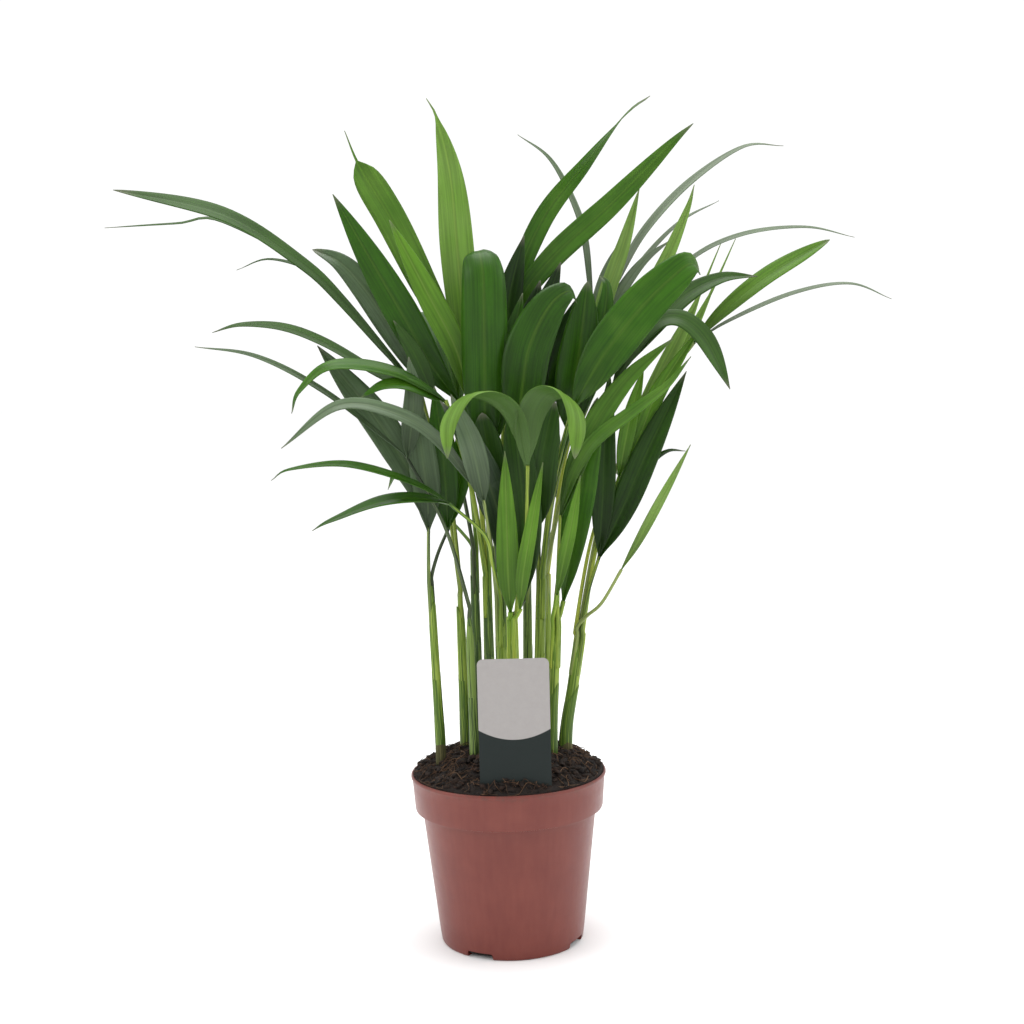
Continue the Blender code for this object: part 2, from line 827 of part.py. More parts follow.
def add_blade(name, root, blade, group):
    """A thin blade, folded a little along its midrib: a loft of four-cornered sections that ends in a tip."""
    line = smooth_line([root, *(Vector(point) for point in blade.points)], BLADE_SEGMENTS)
    turn = math.radians(blade.turn)
    carried = Vector((math.cos(turn), math.sin(turn), 0.0))
    shape = bmesh.new()
    sections = []
    for number, point in enumerate(line[:-1]):
        along = (line[number + 1] - line[max(0, number - 1)]).normalized()
        carried = (carried - carried.dot(along) * along).normalized()
        twist = math.radians(blade.twist) * (number / BLADE_SEGMENTS) ** 3
        across = Matrix.Rotation(twist, 3, along) @ carried
        up = across.cross(along)
        half = max(THREAD, blade.width / 2.0 * blade_share(number / BLADE_SEGMENTS, blade))
        thick = min(BLADE_THICK, half) / 2.0
        low = (BLADE_FOLD - blade.cup) * half
        corners = [point - across * half + up * low, point + up * (thick - low)]
        corners += [point + across * half + up * low, point - up * (thick + low)]
        sections.append([shape.verts.new(corner * MM) for corner in corners])
    for one, other in zip(sections, sections[1:]):
        for number in range(4):
            after = (number + 1) % 4
            shape.faces.new((one[number], other[number], other[after], one[after]))
    tip = shape.verts.new(line[-1] * MM)
    for number in range(4):
        shape.faces.new((sections[-1][number], tip, sections[-1][(number + 1) % 4]))
    shape.faces.new(sections[0])
    bmesh.ops.triangulate(shape, faces=shape.faces)
    bmesh.ops.recalc_face_normals(shape, faces=shape.faces)
    return as_object(name, mesh_from(name, shape), group)


def unite(thing, other):
    """Joins another closed shape to this one and removes it."""
    join = thing.modifiers.new("join", "BOOLEAN")
    join.operation = "UNION"
    join.solver = "EXACT"
    join.object = other
    graph = bpy.context.evaluated_depsgraph_get()
    mesh = bpy.data.meshes.new_from_object(thing.evaluated_get(graph))
    thing.modifiers.remove(join)
    thing.data = mesh
    bpy.data.objects.remove(other, do_unlink=True)


def add_leaf(name, leaf, foot, group):
    """One leaf as it grew: its stalk and all its blades in one closed body."""
    line = stalk_line(foot, leaf.stalk)
    count = len(line) - 1
    radii = [STALK_BASE + (STALK_TIP - STALK_BASE) * number / count for number in range(count + 1)]
    thing = add_tube("leaf_" + name, line, radii, group, 6)
    inset = (line[-2] - line[-1]).normalized()
    for number, blade in enumerate(leaf.blades):
        root = line[-1] + inset * (ROOT_INSET + ROOT_SPACING * number)
        unite(thing, add_blade("blade", root, blade, group))
    thing.data.materials.clear()
    thing.data.materials.append(principled("leaf_" + name, TONES[leaf.tone], 0.4))
    return thing


def main():
    clear_scene()
    palm = new_collection("potted_palm")
    cutters = new_collection("cutters", hidden=True)
    add_pot(palm, cutters)
    add_soil(palm, cutters)
    add_label(palm)
    for name, stem in STEMS.items():
        add_stem(name, stem, palm)
        for leaf_name, foot in stalk_feet(name).items():
            add_leaf(leaf_name, LEAVES[leaf_name], foot, palm)


main()
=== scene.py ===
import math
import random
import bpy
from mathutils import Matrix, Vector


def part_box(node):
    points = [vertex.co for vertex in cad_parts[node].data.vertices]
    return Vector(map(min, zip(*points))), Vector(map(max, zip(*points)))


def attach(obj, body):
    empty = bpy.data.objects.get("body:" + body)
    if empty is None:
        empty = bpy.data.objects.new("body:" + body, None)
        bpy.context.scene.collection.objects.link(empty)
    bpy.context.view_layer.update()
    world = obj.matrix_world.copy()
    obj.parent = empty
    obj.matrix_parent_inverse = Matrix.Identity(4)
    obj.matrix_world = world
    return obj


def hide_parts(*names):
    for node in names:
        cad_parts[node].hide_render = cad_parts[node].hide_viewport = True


bl_info = {
    "name": "Potted palm",
    "version": (1, 0, 0),
    "blender": (4, 5, 0),
    "location": "3D View > Sidebar > Potted palm",
    "description": "Builds a young areca palm in a nursery pot around its packed solid parts",
    "category": "Add Mesh",
}

from collections import namedtuple

import bpy
import bmesh
from bpy.props import FloatProperty, FloatVectorProperty, IntProperty, PointerProperty
from mathutils import Matrix, Vector, noise

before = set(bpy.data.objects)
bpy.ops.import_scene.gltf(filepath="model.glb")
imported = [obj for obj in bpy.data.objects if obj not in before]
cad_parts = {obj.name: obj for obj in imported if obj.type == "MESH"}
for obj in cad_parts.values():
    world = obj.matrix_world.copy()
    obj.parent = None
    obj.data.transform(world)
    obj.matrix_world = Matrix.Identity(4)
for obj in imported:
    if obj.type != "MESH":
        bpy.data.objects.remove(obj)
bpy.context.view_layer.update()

# Sizes are in millimetres unless a comment says otherwise, and MM turns them into Blender's metres. GAP is the
# clearance between parts that stand in or on one another.
MM = 0.001
GAP = 0.3

# The pot: a turned wall with a rim band, and notches cut through its foot. Angles are in degrees.
POT_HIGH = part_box("pot")[1]
POT_HEIGHT = POT_HIGH.z / MM
RIM_RADIUS = POT_HIGH.x / MM
RIM_BAND = 22.0
BODY_TOP_RADIUS = 53.5
FOOT_RADIUS = 44.0
WALL = 1.3
FLOOR = 1.6
NOTCHES = 4
FIRST_NOTCH = -27.0
NOTCH_WIDTH = 17.0
NOTCH_HEIGHT = 4.0
NOTCH_DEPTH = 9.0
NOTCH_CORNER = 1.4
POT_SHARP_ANGLE = 38.0

# The peat: a rough dome over a plug that fills the pot.
HEAP_HEIGHT = 17.0
HEAP_EDGE = 105.5
SOCKET_FLOOR = 92.0
PLUG_HEIGHTS = (101.0, 88.0, 83.0, 60.0, 30.0, 6.0, FLOOR + GAP)
CRUMB_SEED = 41
FIBRE_SEED = 73
FIBRE_COLOURS = ("#1c120c", "#3c291c", "#6e543e")

# The label: a card with round upper corners, bowed a little towards the front.
LABEL_LOW, LABEL_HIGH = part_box("label")
LABEL_CORNER = 3.5
LABEL_CORNER_STEPS = 6
LABEL_COLUMNS = (-12.0, -8.0, -4.0, 0.0, 4.0, 8.0, 12.0)
LABEL_LEVELS = 28
LABEL_BOW = 0.5
LABEL_SHARP_ANGLE = 50.0

# The canes and the leaf stalks, which leave each cane in a ring. STALK_BASE and STALK_TIP are the radii of a
# stalk's ends, STALK_GAP the room between two stalks, and STALK_INSIDE how far down its cane a stalk starts.
STEM_STEPS = 36
STALK_STEPS = 40
STALK_BASE = 1.2
STALK_TIP = 0.85
STALK_GAP = 0.5
STALK_INSIDE = 24.0

# The blades. BLADE_ACROSS has the places of a ring's points, from one margin to the other. The folds are how
# far each half stands up from flat, in radians. ROOT_SHARE is a blade's width at its root as a share of its
# greatest, and SLACK_HEIGHT the height of its margins' waves as a share of half its width. THREAD is the half
# width that every tip ends in, and TAIL_THREAD what is added to it where a drawn-out tail starts.
BLADE_THICK = 0.34
BLADE_STEPS = 46
ROOT_INSET = 1.0
ROOT_SPACING = 1.6
ROOT_FOLD = 0.85
MIDDLE_FOLD = 0.20
TIP_FOLD = 0.35
BLADE_ACROSS = (-1.0, -0.82, -0.6, -0.38, -0.18, -0.05, 0.05, 0.18, 0.38, 0.6, 0.82, 1.0)
WIDEST_AT = 0.42
ROOT_SHARE = 0.14
PLEATS = 5.0
PLEAT_DEPTH = 0.09
SLACK_WAVE = 9.0
SLACK_HEIGHT = 0.05
THREAD = 0.22
TAIL_THREAD = 0.7

# The studio, in metres, watts and radians. A soft box has a name, a place, a size and a power.
CAMERA_PLACE = (0.0063, -0.950, 0.360)
CAMERA_DOWN = 0.100
CAMERA_ROLL = 0.0259
SENSOR_WIDTH = 36.0
FLOOR_SIZE = 24.0
SOFT_BOX_AIM = (0.0, 0.0, 0.25)
SOFT_BOXES = (
    ("soft_box_left", (-1.6, -0.5, 1.1), 1.0, 6.0),
    ("soft_box_right", (1.6, -0.3, 1.1), 1.0, 5.0),
    ("soft_box_top", (0.0, 0.2, 1.9), 1.2, 22.0),
)

Stem = namedtuple("Stem", "x y top_x top_y top_z radius")
Blade = namedtuple(
    "Blade",
    "points width turn twist cup blunt tail widest",
    defaults=(0, 0.0, 0.0, 0.0, WIDEST_AT),
)
Leaf = namedtuple("Leaf", "stem stalk blades tone")

# The plan. A stem stands at x, y in the peat and ends at its top, where its leaf stalks part. A leaf has its
# stem, the points that its stalk passes, its blades and its tone. A blade has the points that its rib passes
# and its greatest width, and these shape it:
# - turn: heading of its width in plan, in degrees, 0 along X (broad from the front) and 90 or -90 edge on
# - twist: how far the tip is turned about the blade's own length, in degrees
# - cup: how far the margins hang, as a share of half its width
# - blunt: how rounded the tip is, from 0, drawn out to a point, to 1, round
# - tail: share of its length that has shrunk to a thread at the tip
# - widest: where along its length it is widest, as a share
STEMS = {
    "west": Stem(-41, -8, -44, -9, 222, 2.4),
    "west_back": Stem(-26, 6, -27, 7, 215, 2.8),
    "west_front": Stem(-20, -17, -21, -18, 205, 2.4),
    "north_west": Stem(-18, 20, -18, 21, 236, 2.8),
    "inner_west": Stem(-10, 1, -10, 1, 224, 3.1),
    "north": Stem(-3, 17, -3, 18, 240, 2.9),
    "centre": Stem(-2, -11, -2, -12, 208, 2.8),
    "south": Stem(5, -26, 5, -26, 198, 2.8),
    "north_east": Stem(13, 26, 15, 28, 228, 2.8),
    "inner_east": Stem(19, 3, 23, 3, 222, 3.1),
    "east_back": Stem(24, 20, 27, 21, 222, 2.8),
    "east_front": Stem(27, -10, 31, -12, 194, 2.8),
    "east": Stem(36, 4, 46, 4, 186, 3.4),
}

LEAVES = {
    "left_long": Leaf(
        "west_back",
        [(-47, 11, 337)],
        [
            Blade(
                [(-92, 6, 393), (-117, 2, 418), (-160, -8, 446), (-221, -20, 461)],
                14.0, 50, blunt=0.2, widest=0.72,
            ),
            Blade(
                [(-80, 11, 378), (-110, 12, 413), (-164, 9, 444), (-190, 6, 443), (-232, 0, 441)],
                5.0, 52, widest=0.5,
            ),
            Blade([(-85, 14, 386), (-108, 15, 411), (-136, 15, 421), (-157, 15, 415)], 5.0, 55),
        ],
        "dark",
    ),
    "left_arch": Leaf(
        "west_back",
        [(-39, -5, 338)],
        [
            Blade(
                [(-66, -8, 347), (-103, -10, 369), (-127, -13, 379), (-150, -17, 381), (-167, -20, 377)],
                17.0, 42,
            ),
            Blade([(-50, -1, 362), (-62, 2, 382)], 12.0, 20),
        ],
        "dark",
    ),
    "left_fine": Leaf(
        "west_front",
        [(-56, -18, 302)],
        [
            Blade([(-100, -19, 339), (-140, -24, 362), (-176, -28, 369)], 7.0, 55),
            Blade([(-50, -20, 335), (-52, -21, 360)], 13.0, 10),
        ],
        "grey",
    ),
    "left_droop": Leaf(
        "inner_west",
        [(-31, -23, 334)],
        [
            Blade([(-60, -26, 351), (-96, -30, 356), (-115, -34, 342), (-120, -36, 329)], 12.5, 44),
            Blade([(-50, -28, 343), (-66, -31, 344), (-80, -34, 337)], 11.0, 40),
        ],
        "mid",
    ),
    "left_droop_low": Leaf(
        "centre",
        [(-10, -38, 276)],
        [
            Blade([(-35, -38, 311), (-60, -41, 328), (-92, -46, 333), (-124, -56, 310)], 10.5, 42),
            Blade([(-16, -42, 308), (-27, -47, 338)], 15.0, 10),
        ],
        "grey",
    ),
    "left_low": Leaf(
        "centre",
        [(-6, -38, 239), (-10, -43, 256), (-30, -43, 275)],
        [
            Blade([(-52, -43, 288), (-88, -44, 299), (-121, -45, 297), (-132, -46, 291)], 9.5, 50),
            Blade([(-48, -41, 278), (-70, -40, 276), (-99, -37, 266), (-111, -35, 260)], 17.0, 25),
        ],
        "mid",
    ),
    "left_broad": Leaf(
        "west",
        [(-44, -12, 258)],
        [
            Blade([(-49, -12, 280), (-61, -12, 304), (-76, -12, 328), (-107, -8, 368)], 20.0, 22, widest=0.5),
            Blade([(-44, -13, 278), (-46, -13, 298), (-50, -13, 342)], 18.0, 0),
        ],
        "grey",
    ),
    "west_inner": Leaf(
        "west",
        [(-32, -6, 257)],
        [
            Blade([(-34, -9, 300), (-38, -11, 342)], 18.0, 0),
            Blade([(-24, -2, 292), (-19, 0, 332)], 14.0, -10),
        ],
        "mid",
    ),
    "left_grey": Leaf(
        "north_west",
        [(-42, 20, 338)],
        [
            Blade(
                [(-69, 24, 384), (-83, 25, 405), (-96, 26, 419), (-112, 27, 427)],
                20.0, 30, blunt=0.3, widest=0.55,
            ),
            Blade([(-54, 28, 366), (-76, 31, 396)], 13.0, 30),
        ],
        "grey",
    ),
    "left_tall": Leaf(
        "north",
        [(-25, 14, 334)],
        [
            Blade(
                [(-28, 17, 368), (-46, 20, 408), (-63, 22, 444), (-81, 22, 476), (-89, 20, 497)],
                20.0, 8, twist=10, blunt=1.0, tail=0.12, widest=0.72,
            ),
            Blade([(-40, 9, 354), (-57, 6, 386), (-72, 2, 414), (-95, -4, 457)], 21.0, 8),
        ],
        "mid",
    ),
    "bright": Leaf(
        "inner_west",
        [(-18, 3, 333)],
        [
            Blade([(-25, 2, 364), (-43, -1, 402), (-62, -4, 441)], 16.0, 5),
            Blade(
                [(-20, 12, 378), (-23, 16, 426), (-26, 19, 470), (-33, 20, 503), (-39, 21, 515)],
                21.0, 0, blunt=0.25, tail=0.07, widest=0.5,
            ),
        ],
        "bright",
    ),
    "round_top": Leaf(
        "inner_west",
        [(-9, -9, 300)],
        [
            Blade(
                [(-8, -14, 340), (-7, -22, 398), (-8, -18, 415), (-10, -8, 421), (-12, 2, 412)],
                28.0, 0, cup=0.5, blunt=0.95,
            ),
            Blade([(3, -8, 345), (16, -5, 396)], 18.0, -5),
        ],
        "mid",
    ),
    "dark_fold": Leaf(
        "north",
        [(10, 19, 332)],
        [
            Blade([(8, 20, 362), (8, 21, 393), (18, 22, 432)], 19.0, -5),
            Blade([(20, 18, 362), (40, 19, 415)], 18.0, -10),
        ],
        "dark",
    ),
    "right_tall": Leaf(
        "north",
        [(6, 32, 350)],
        [
            Blade(
                [(8, 34, 390), (29, 36, 441), (57, 37, 476), (83, 38, 506), (98, 39, 516)],
                13.0, -10, twist=150, blunt=0.2, widest=0.45,
            ),
            Blade(
                [(14, 28, 390), (35, 26, 418), (72, 24, 450), (109, 21, 485), (122, 20, 496)],
                15.0, -10, twist=25, blunt=0.1, widest=0.5,
            ),
        ],
        "mid",
    ),
    "crook": Leaf(
        "north_east",
        [(61, 56, 380)],
        [
            Blade([(57, 58, 428), (50, 59, 455), (36, 61, 482), (16, 64, 498)], 7.0, 45),
            Blade([(68, 60, 405), (76, 62, 425)], 8.0, -20),
        ],
        "grey",
    ),
    "light_pair": Leaf(
        "east_back",
        [(60, 46, 350)],
        [
            Blade([(67, 46, 389), (81, 46, 428), (91, 46, 461)], 11.0, -8),
            Blade([(84, 45, 380), (104, 44, 411), (120, 44, 446), (125, 44, 462)], 10.5, -12),
        ],
        "bright",
    ),
    "far_right": Leaf(
        "north_east",
        [(59, 70, 368)],
        [
            Blade([(81, 70, 412), (98, 70, 439), (126, 71, 467), (160, 73, 488), (186, 74, 488)], 7.0, -42),
            Blade([(90, 68, 412), (112, 68, 430)], 8.0, -15),
            Blade([(90, 75, 412), (118, 77, 441), (145, 79, 455)], 5.0, -42),
        ],
        "grey",
    ),
    "broad_fold": Leaf(
        "inner_east",
        [(44, -17, 328)],
        [
            Blade(
                [(62, -19, 357), (84, -21, 384), (103, -21, 402), (115, -17, 410), (121, -9, 404)],
                27.0, -12, blunt=0.7,
            ),
        ],
        "mid",
    ),
    "right_fan": Leaf(
        "east",
        [(87, 17, 322), (120, 15, 364)],
        [
            Blade([(137, 14, 382), (166, 14, 404), (203, 14, 424)], 12.5, -35, blunt=0.35, widest=0.6),
            Blade([(139, 9, 376), (178, 5, 392), (212, 2, 397), (237, 0, 387)], 4.0, -50),
        ],
        "grey",
    ),
    "right_over": Leaf(
        "east_back",
        [(82, 32, 378)],
        [
            Blade([(117, 28, 413), (150, 26, 429), (190, 27, 433), (221, 28, 426)], 4.2, -50),
        ],
        "grey",
    ),
    "right_dark": Leaf(
        "east_front",
        [(42, 5, 262), (70, 1, 342)],
        [
            Blade([(82, 3, 361), (110, 7, 389), (135, 8, 402), (158, 8, 403)], 16.0, -30),
            Blade([(90, -2, 371), (107, -3, 379), (123, -8, 367), (137, -18, 336)], 14.0, -42, widest=0.65),
        ],
        "dark",
    ),
    "light_tips": Leaf(
        "east",
        [(73, 26, 291)],
        [
            Blade([(90, 29, 325), (106, 32, 355), (122, 34, 385), (140, 36, 425)], 10.0, -12, tail=0.2),
            Blade([(102, 36, 338), (118, 38, 365), (134, 40, 395), (150, 42, 428)], 8.5, -15, tail=0.2),
        ],
        "bright",
    ),
    "centre_pair": Leaf(
        "centre",
        [(10, -15, 312)],
        [
            Blade(
                [(14, -18, 338), (19, -20, 364), (31, -19, 387), (43, -14, 396), (48, -7, 389)],
                28.0, -5, cup=0.2, blunt=0.3,
            ),
        ],
        "mid",
    ),
    "centre_right": Leaf(
        "inner_east",
        [(42, 0, 312)],
        [
            Blade([(45, -3, 336), (50, -3, 367), (55, -2, 402)], 26.0, 0, blunt=0.2),
            Blade([(56, 5, 350), (65, 6, 382), (67, 9, 400), (63, 15, 406)], 17.0, -10),
        ],
        "mid",
    ),
    "right_mid": Leaf(
        "east_front",
        [(35, -18, 264)],
        [
            Blade(
                [(44, -22, 290), (56, -25, 308), (77, -28, 324), (98, -29, 339), (113, -29, 356)],
                9.0, -35,
            ),
            Blade([(46, -17, 296), (60, -16, 322), (79, -16, 346), (104, -18, 367)], 14.0, -15),
        ],
        "mid",
    ),
    "right_bright": Leaf(
        "east",
        [(73, 11, 285)],
        [
            Blade([(84, 10, 305), (97, 8, 335), (122, 6, 372)], 11.0, -12),
            Blade([(79, 4, 318), (88, 2, 350)], 10.0, -5),
        ],
        "bright",
    ),
    "right_deep": Leaf(
        "east",
        [(59, 3, 236)],
        [
            Blade([(62, 4, 275), (64, 8, 305), (68, 11, 348)], 15.0, 0),
            Blade([(74, 4, 265), (90, 4, 300), (114, 5, 347)], 18.0, -15),
            Blade([(70, 10, 256), (89, 14, 287), (102, 15, 298), (114, 16, 298)], 7.0, -30),
        ],
        "dark",
    ),
    "right_outer": Leaf(
        "east",
        [(59, -14, 210), (71, -16, 230)],
        [
            Blade([(81, -15, 246), (96, -17, 273), (113, -20, 304)], 6.0, -10),
        ],
        "bright",
    ),
    "right_inner": Leaf(
        "east_front",
        [(36, -10, 211)],
        [
            Blade([(42, -10, 245), (50, -10, 290), (59, -11, 333)], 19.0, -5, blunt=0.3, widest=0.55),
        ],
        "mid",
    ),
    "inner_east_low": Leaf(
        "east_front",
        [(32, -18, 216)],
        [
            Blade([(36, -22, 236), (41, -26, 258), (47, -29, 288)], 8.0, -5),
        ],
        "bright",
    ),
    "front_arch": Leaf(
        "south",
        [(14, -30, 250), (16, -47, 296)],
        [
            Blade(
                [(9, -54, 325), (-3, -58, 337), (-18, -64, 337), (-28, -70, 323), (-29, -75, 303)],
                18.0, 140, twist=-100, cup=0.25, blunt=0.2,
            ),
            Blade(
                [(17, -52, 322), (25, -56, 337), (37, -62, 337), (44, -69, 324), (42, -75, 301)],
                20.0, 205, twist=105, cup=0.25, blunt=0.25,
            ),
        ],
        "mid",
    ),
    "front_upright": Leaf(
        "south",
        [(4, -29, 208)],
        [
            Blade([(3, -31, 232), (3, -33, 258), (3, -36, 304)], 13.5, 0, widest=0.32),
        ],
        "bright",
    ),
    "front_slim": Leaf(
        "south",
        [(10, -30, 210)],
        [
            Blade([(12, -35, 232), (17, -38, 258), (25, -38, 297)], 9.0, -5, widest=0.34),
        ],
        "bright",
    ),
    "grey_left": Leaf(
        "centre",
        [(1, -20, 236)],
        [
            Blade([(-3, -22, 271), (-17, -26, 308), (-34, -29, 334)], 19.0, 10),
        ],
        "grey",
    ),
    "grey_middle": Leaf(
        "centre",
        [(-4, -14, 256)],
        [
            Blade([(-5, -17, 285), (-7, -18, 305), (-10, -17, 326)], 22.0, 0, blunt=0.5),
        ],
        "dark",
    ),
    "grey_right": Leaf(
        "south",
        [(12, -21, 214)],
        [
            Blade([(14, -24, 254), (11, -24, 297), (8, -22, 330)], 21.0, 0, blunt=0.5, widest=0.5),
        ],
        "dark",
    ),
    "grey_far": Leaf(
        "inner_east",
        [(21, -16, 256)],
        [
            Blade([(24, -20, 291), (28, -20, 312), (33, -19, 332)], 20.0, -5, blunt=0.4),
        ],
        "dark",
    ),
    "centre_back": Leaf(
        "inner_east",
        [(23, 7, 318)],
        [
            Blade([(20, 9, 350), (20, 11, 375), (27, 12, 404)], 22.0, -5),
            Blade([(32, 9, 346), (40, 11, 368), (50, 14, 394)], 19.0, -10),
        ],
        "dark",
    ),
    "back_left": Leaf(
        "north_west",
        [(-26, 48, 330)],
        [
            Blade([(-38, 72, 372), (-56, 104, 388), (-72, 140, 365)], 14.0, 30),
            Blade([(-20, 72, 372), (-22, 100, 401), (-26, 135, 396)], 14.0, 2),
        ],
        "mid",
    ),
    "back_middle": Leaf(
        "north",
        [(-2, 50, 345)],
        [
            Blade([(-4, 80, 388), (-6, 110, 408), (-8, 145, 392)], 15.0, 0),
            Blade([(8, 78, 380), (18, 105, 396), (28, 135, 378)], 14.0, -15),
        ],
        "dark",
    ),
    "back_right": Leaf(
        "north_east",
        [(32, 62, 330)],
        [
            Blade([(46, 86, 366), (61, 116, 382), (80, 152, 358)], 14.0, -25),
            Blade([(30, 88, 370), (35, 116, 388), (42, 148, 370)], 13.0, 0),
        ],
        "mid",
    ),
    "back_low_left": Leaf(
        "north_west",
        [(-36, 38, 260)],
        [
            Blade([(-46, 60, 290), (-62, 90, 300), (-78, 120, 270)], 11.0, 30),
            Blade([(-34, 60, 296), (-38, 88, 312), (-40, 116, 292)], 11.0, 5),
        ],
        "mid",
    ),
    "back_low_right": Leaf(
        "east_back",
        [(38, 48, 262)],
        [
            Blade([(50, 68, 290), (64, 94, 300), (80, 124, 275)], 11.0, -30),
            Blade([(34, 68, 296), (34, 94, 310), (34, 120, 290)], 11.0, -5),
        ],
        "dark",
    ),
}


# How light a leaf's green is, from nought to one: partly its age, the youngest leaves lightest, and partly
# painted light, low for leaves in the shaded middle of the crown and high for leaves in open light.
LEAF_AGES_AND_LIGHT = {
    "front_arch": 0.95,
    "centre_pair": 0.05,
    "centre_right": 0.2,
    "round_top": 0.25,
    "broad_fold": 0.38,
    "right_tall": 0.55,
    "left_tall": 0.6,
    "bright": 0.5,
    "dark_fold": 0.0,
    "centre_back": 0.0,
    "left_broad": 0.3,
    "left_droop_low": 0.5,
    "left_droop": 0.5,
    "right_dark": 0.7,
    "right_mid": 0.55,
    "crook": 0.6,
    "far_right": 0.9,
    "right_over": 0.8,
    "right_fan": 0.8,
    "left_low": 0.35,
    "light_tips": 0.8,
    "light_pair": 0.8,
    "right_outer": 0.9,
    "grey_left": 0.0,
    "left_grey": 0.25,
    "left_long": 0.75,
    "left_arch": 0.7,
    "left_fine": 0.4,
}

# Single blades, by leaf and number, of another age and painted light, or of another tone, than the rest of
# their leaf.
BLADE_AGES_AND_LIGHT = {("left_tall", 1): 0.25, ("bright", 0): 0.3, ("bright", 1): 0.62}
BLADE_TONES = {("right_fan", 0): "mid"}

# Stalks of another tone than their leaf's blades, and stalks stouter than the rest, by how many times.
STALK_TONES = {
    "west_inner": "dusky",
    "left_fine": "dusky",
    "left_grey": "dusky",
    "grey_right": "dusky",
    "grey_middle": "dusky",
    "right_outer": "grey",
}
STOUT_STALKS = {
    "front_upright": 1.6,
    "front_slim": 1.3,
    "bright": 1.4,
    "left_tall": 1.3,
    "left_droop": 1.3,
    "right_tall": 1.3,
    "dark_fold": 1.3,
    "broad_fold": 1.5,
    "centre_right": 1.3,
    "right_inner": 1.4,
    "inner_east_low": 1.3,
    "grey_right": 1.4,
}

# Canes whose sheaths are nearly black-green.
DUSKY_STEMS = ("west_front", "north_west", "inner_west", "north_east")

# The colours of a stalk or sheath: at its foot, at its middle, at its end, and of its pale streaks, which are
# partly painted highlights and glow.
STALK_COLOURS = {
    "dark": ("#4c661e", "#40591c", "#304d18", "#7e9036"),
    "mid": ("#5a7622", "#4c6c20", "#3c621c", "#8ca03c"),
    "bright": ("#84982c", "#76932a", "#5c8420", "#a8b24a"),
    "grey": ("#5f7538", "#526a34", "#40582e", "#8a9856"),
    "dusky": ("#3a4426", "#2c3822", "#26331f", "#566644"),
}
SHEATH_COLOURS = ("#34381c", "#44601e", "#5d7e24", "#8fa344")
DUSKY_SHEATH_COLOURS = ("#262a1a", "#2c4220", "#426026", "#7c9448")

# The colours of a blade beside its main green: at the low end of its age and painted light, at the high end,
# its rib, its underside and the light through it. The last number is how rough its skin is. The tones are
# partly painted light: dark also stands for leaves in shade, bright for leaves with light glowing through
# them, and grey for leaves greyed by the white room's sheen on their waxy skin.
LeafTone = namedtuple("LeafTone", "deep young rib under through roughness")
TONES = {
    "dark": LeafTone("#13260a", "#3e5e24", "#3e5e1a", "#36502a", "#6c9a1c", 0.36),
    "mid": LeafTone("#1e3809", "#688c34", "#567424", "#4a6630", "#86b41c", 0.36),
    "bright": LeafTone("#3c6410", "#7c9652", "#869c48", "#6c8c3c", "#a4d024", 0.38),
    "grey": LeafTone("#344630", "#7a8672", "#6c8056", "#64765c", "#7c9a48", 0.32),
}
VEIN_SPACING = 1.3
FINE_VEIN_SPACING = 0.45
BLOTCH_SIZE = 22.0


# ---------------------------------------------------------------- lines and meshes

FINE_STEPS = 24


def smooth_line(points, steps):
    """A Catmull-Rom line through the points, with its samples evenly spaced along it."""
    ends = [2 * points[0] - points[1], *points, 2 * points[-1] - points[-2]]
    fine = []
    for a, b, c, d in zip(ends, ends[1:], ends[2:], ends[3:]):
        for step in range(FINE_STEPS):
            t = step / FINE_STEPS
            bend = (2 * a - 5 * b + 4 * c - d) * t * t + (3 * b - a - 3 * c + d) * t**3
            fine.append(b + 0.5 * ((c - a) * t + bend))
    fine.append(points[-1])
    reach = [0.0]
    for one, other in zip(fine, fine[1:]):
        reach.append(reach[-1] + (other - one).length)
    line = []
    at = 0
    for step in range(steps + 1):
        goal = reach[-1] * step / steps
        while at < len(fine) - 2 and reach[at + 1] < goal:
            at += 1
        share = (goal - reach[at]) / (reach[at + 1] - reach[at])
        line.append(fine[at].lerp(fine[at + 1], share))
    return line


def line_length(line):
    """Length along a line's points."""
    return sum((other - one).length for one, other in zip(line, line[1:]))


def carry_frames(line, first_side):
    """Side, up and along directions at each point of a line, carried along it without spinning."""
    side = first_side
    frames = []
    for number in range(len(line)):
        along = line[min(number + 1, len(line) - 1)] - line[max(0, number - 1)]
        along.normalize()
        side = (side - side.dot(along) * along).normalized()
        frames.append((side, side.cross(along), along))
    return frames


class Skin:
    """Collects rings of points into closed shapes, with the marks that the materials read."""

    def __init__(self):
        self.points = []
        self.faces = []
        self.slots = []
        self.marks = {"along": [], "across": [], "upper": [], "shade": []}
        self.grain = []

    def ring(self, places, along, across, upper, shade, grain):
        """Adds a ring of points with their marks, and gives their numbers."""
        first = len(self.points)
        self.points.extend(places)
        self.marks["along"].extend([along] * len(places))
        self.marks["across"].extend(across)
        self.marks["upper"].extend(upper)
        self.marks["shade"].extend([shade] * len(places))
        self.grain.extend(grain)
        return list(range(first, first + len(places)))

    def loft(self, rings, slot):
        """Closes a row of equal rings into one solid."""
        for one, other in zip(rings, rings[1:]):
            for number in range(len(one)):
                after = (number + 1) % len(one)
                self.faces.append((one[number], one[after], other[after], other[number]))
                self.slots.append(slot)
        self.faces.append(tuple(reversed(rings[0])))
        self.faces.append(tuple(rings[-1]))
        self.slots.extend([slot, slot])

    def to_object(self, name, materials):
        """Makes the mesh and puts it in the scene as one smooth object."""
        data = bpy.data.meshes.new(name)
        data.from_pydata([point * MM for point in self.points], [], self.faces)
        for mark, values in self.marks.items():
            data.attributes.new(mark, "FLOAT", "POINT").data.foreach_set("value", values)
        layer = data.uv_layers.new(name="grain")
        for loop, corner in zip(data.loops, layer.data):
            corner.uv = self.grain[loop.vertex_index]
        for material in materials:
            data.materials.append(material)
        data.polygons.foreach_set("material_index", self.slots)
        data.validate()
        turn_outward(data)
        data.shade_smooth()
        made = bpy.data.objects.new(name, data)
        bpy.context.scene.collection.objects.link(made)
        return made


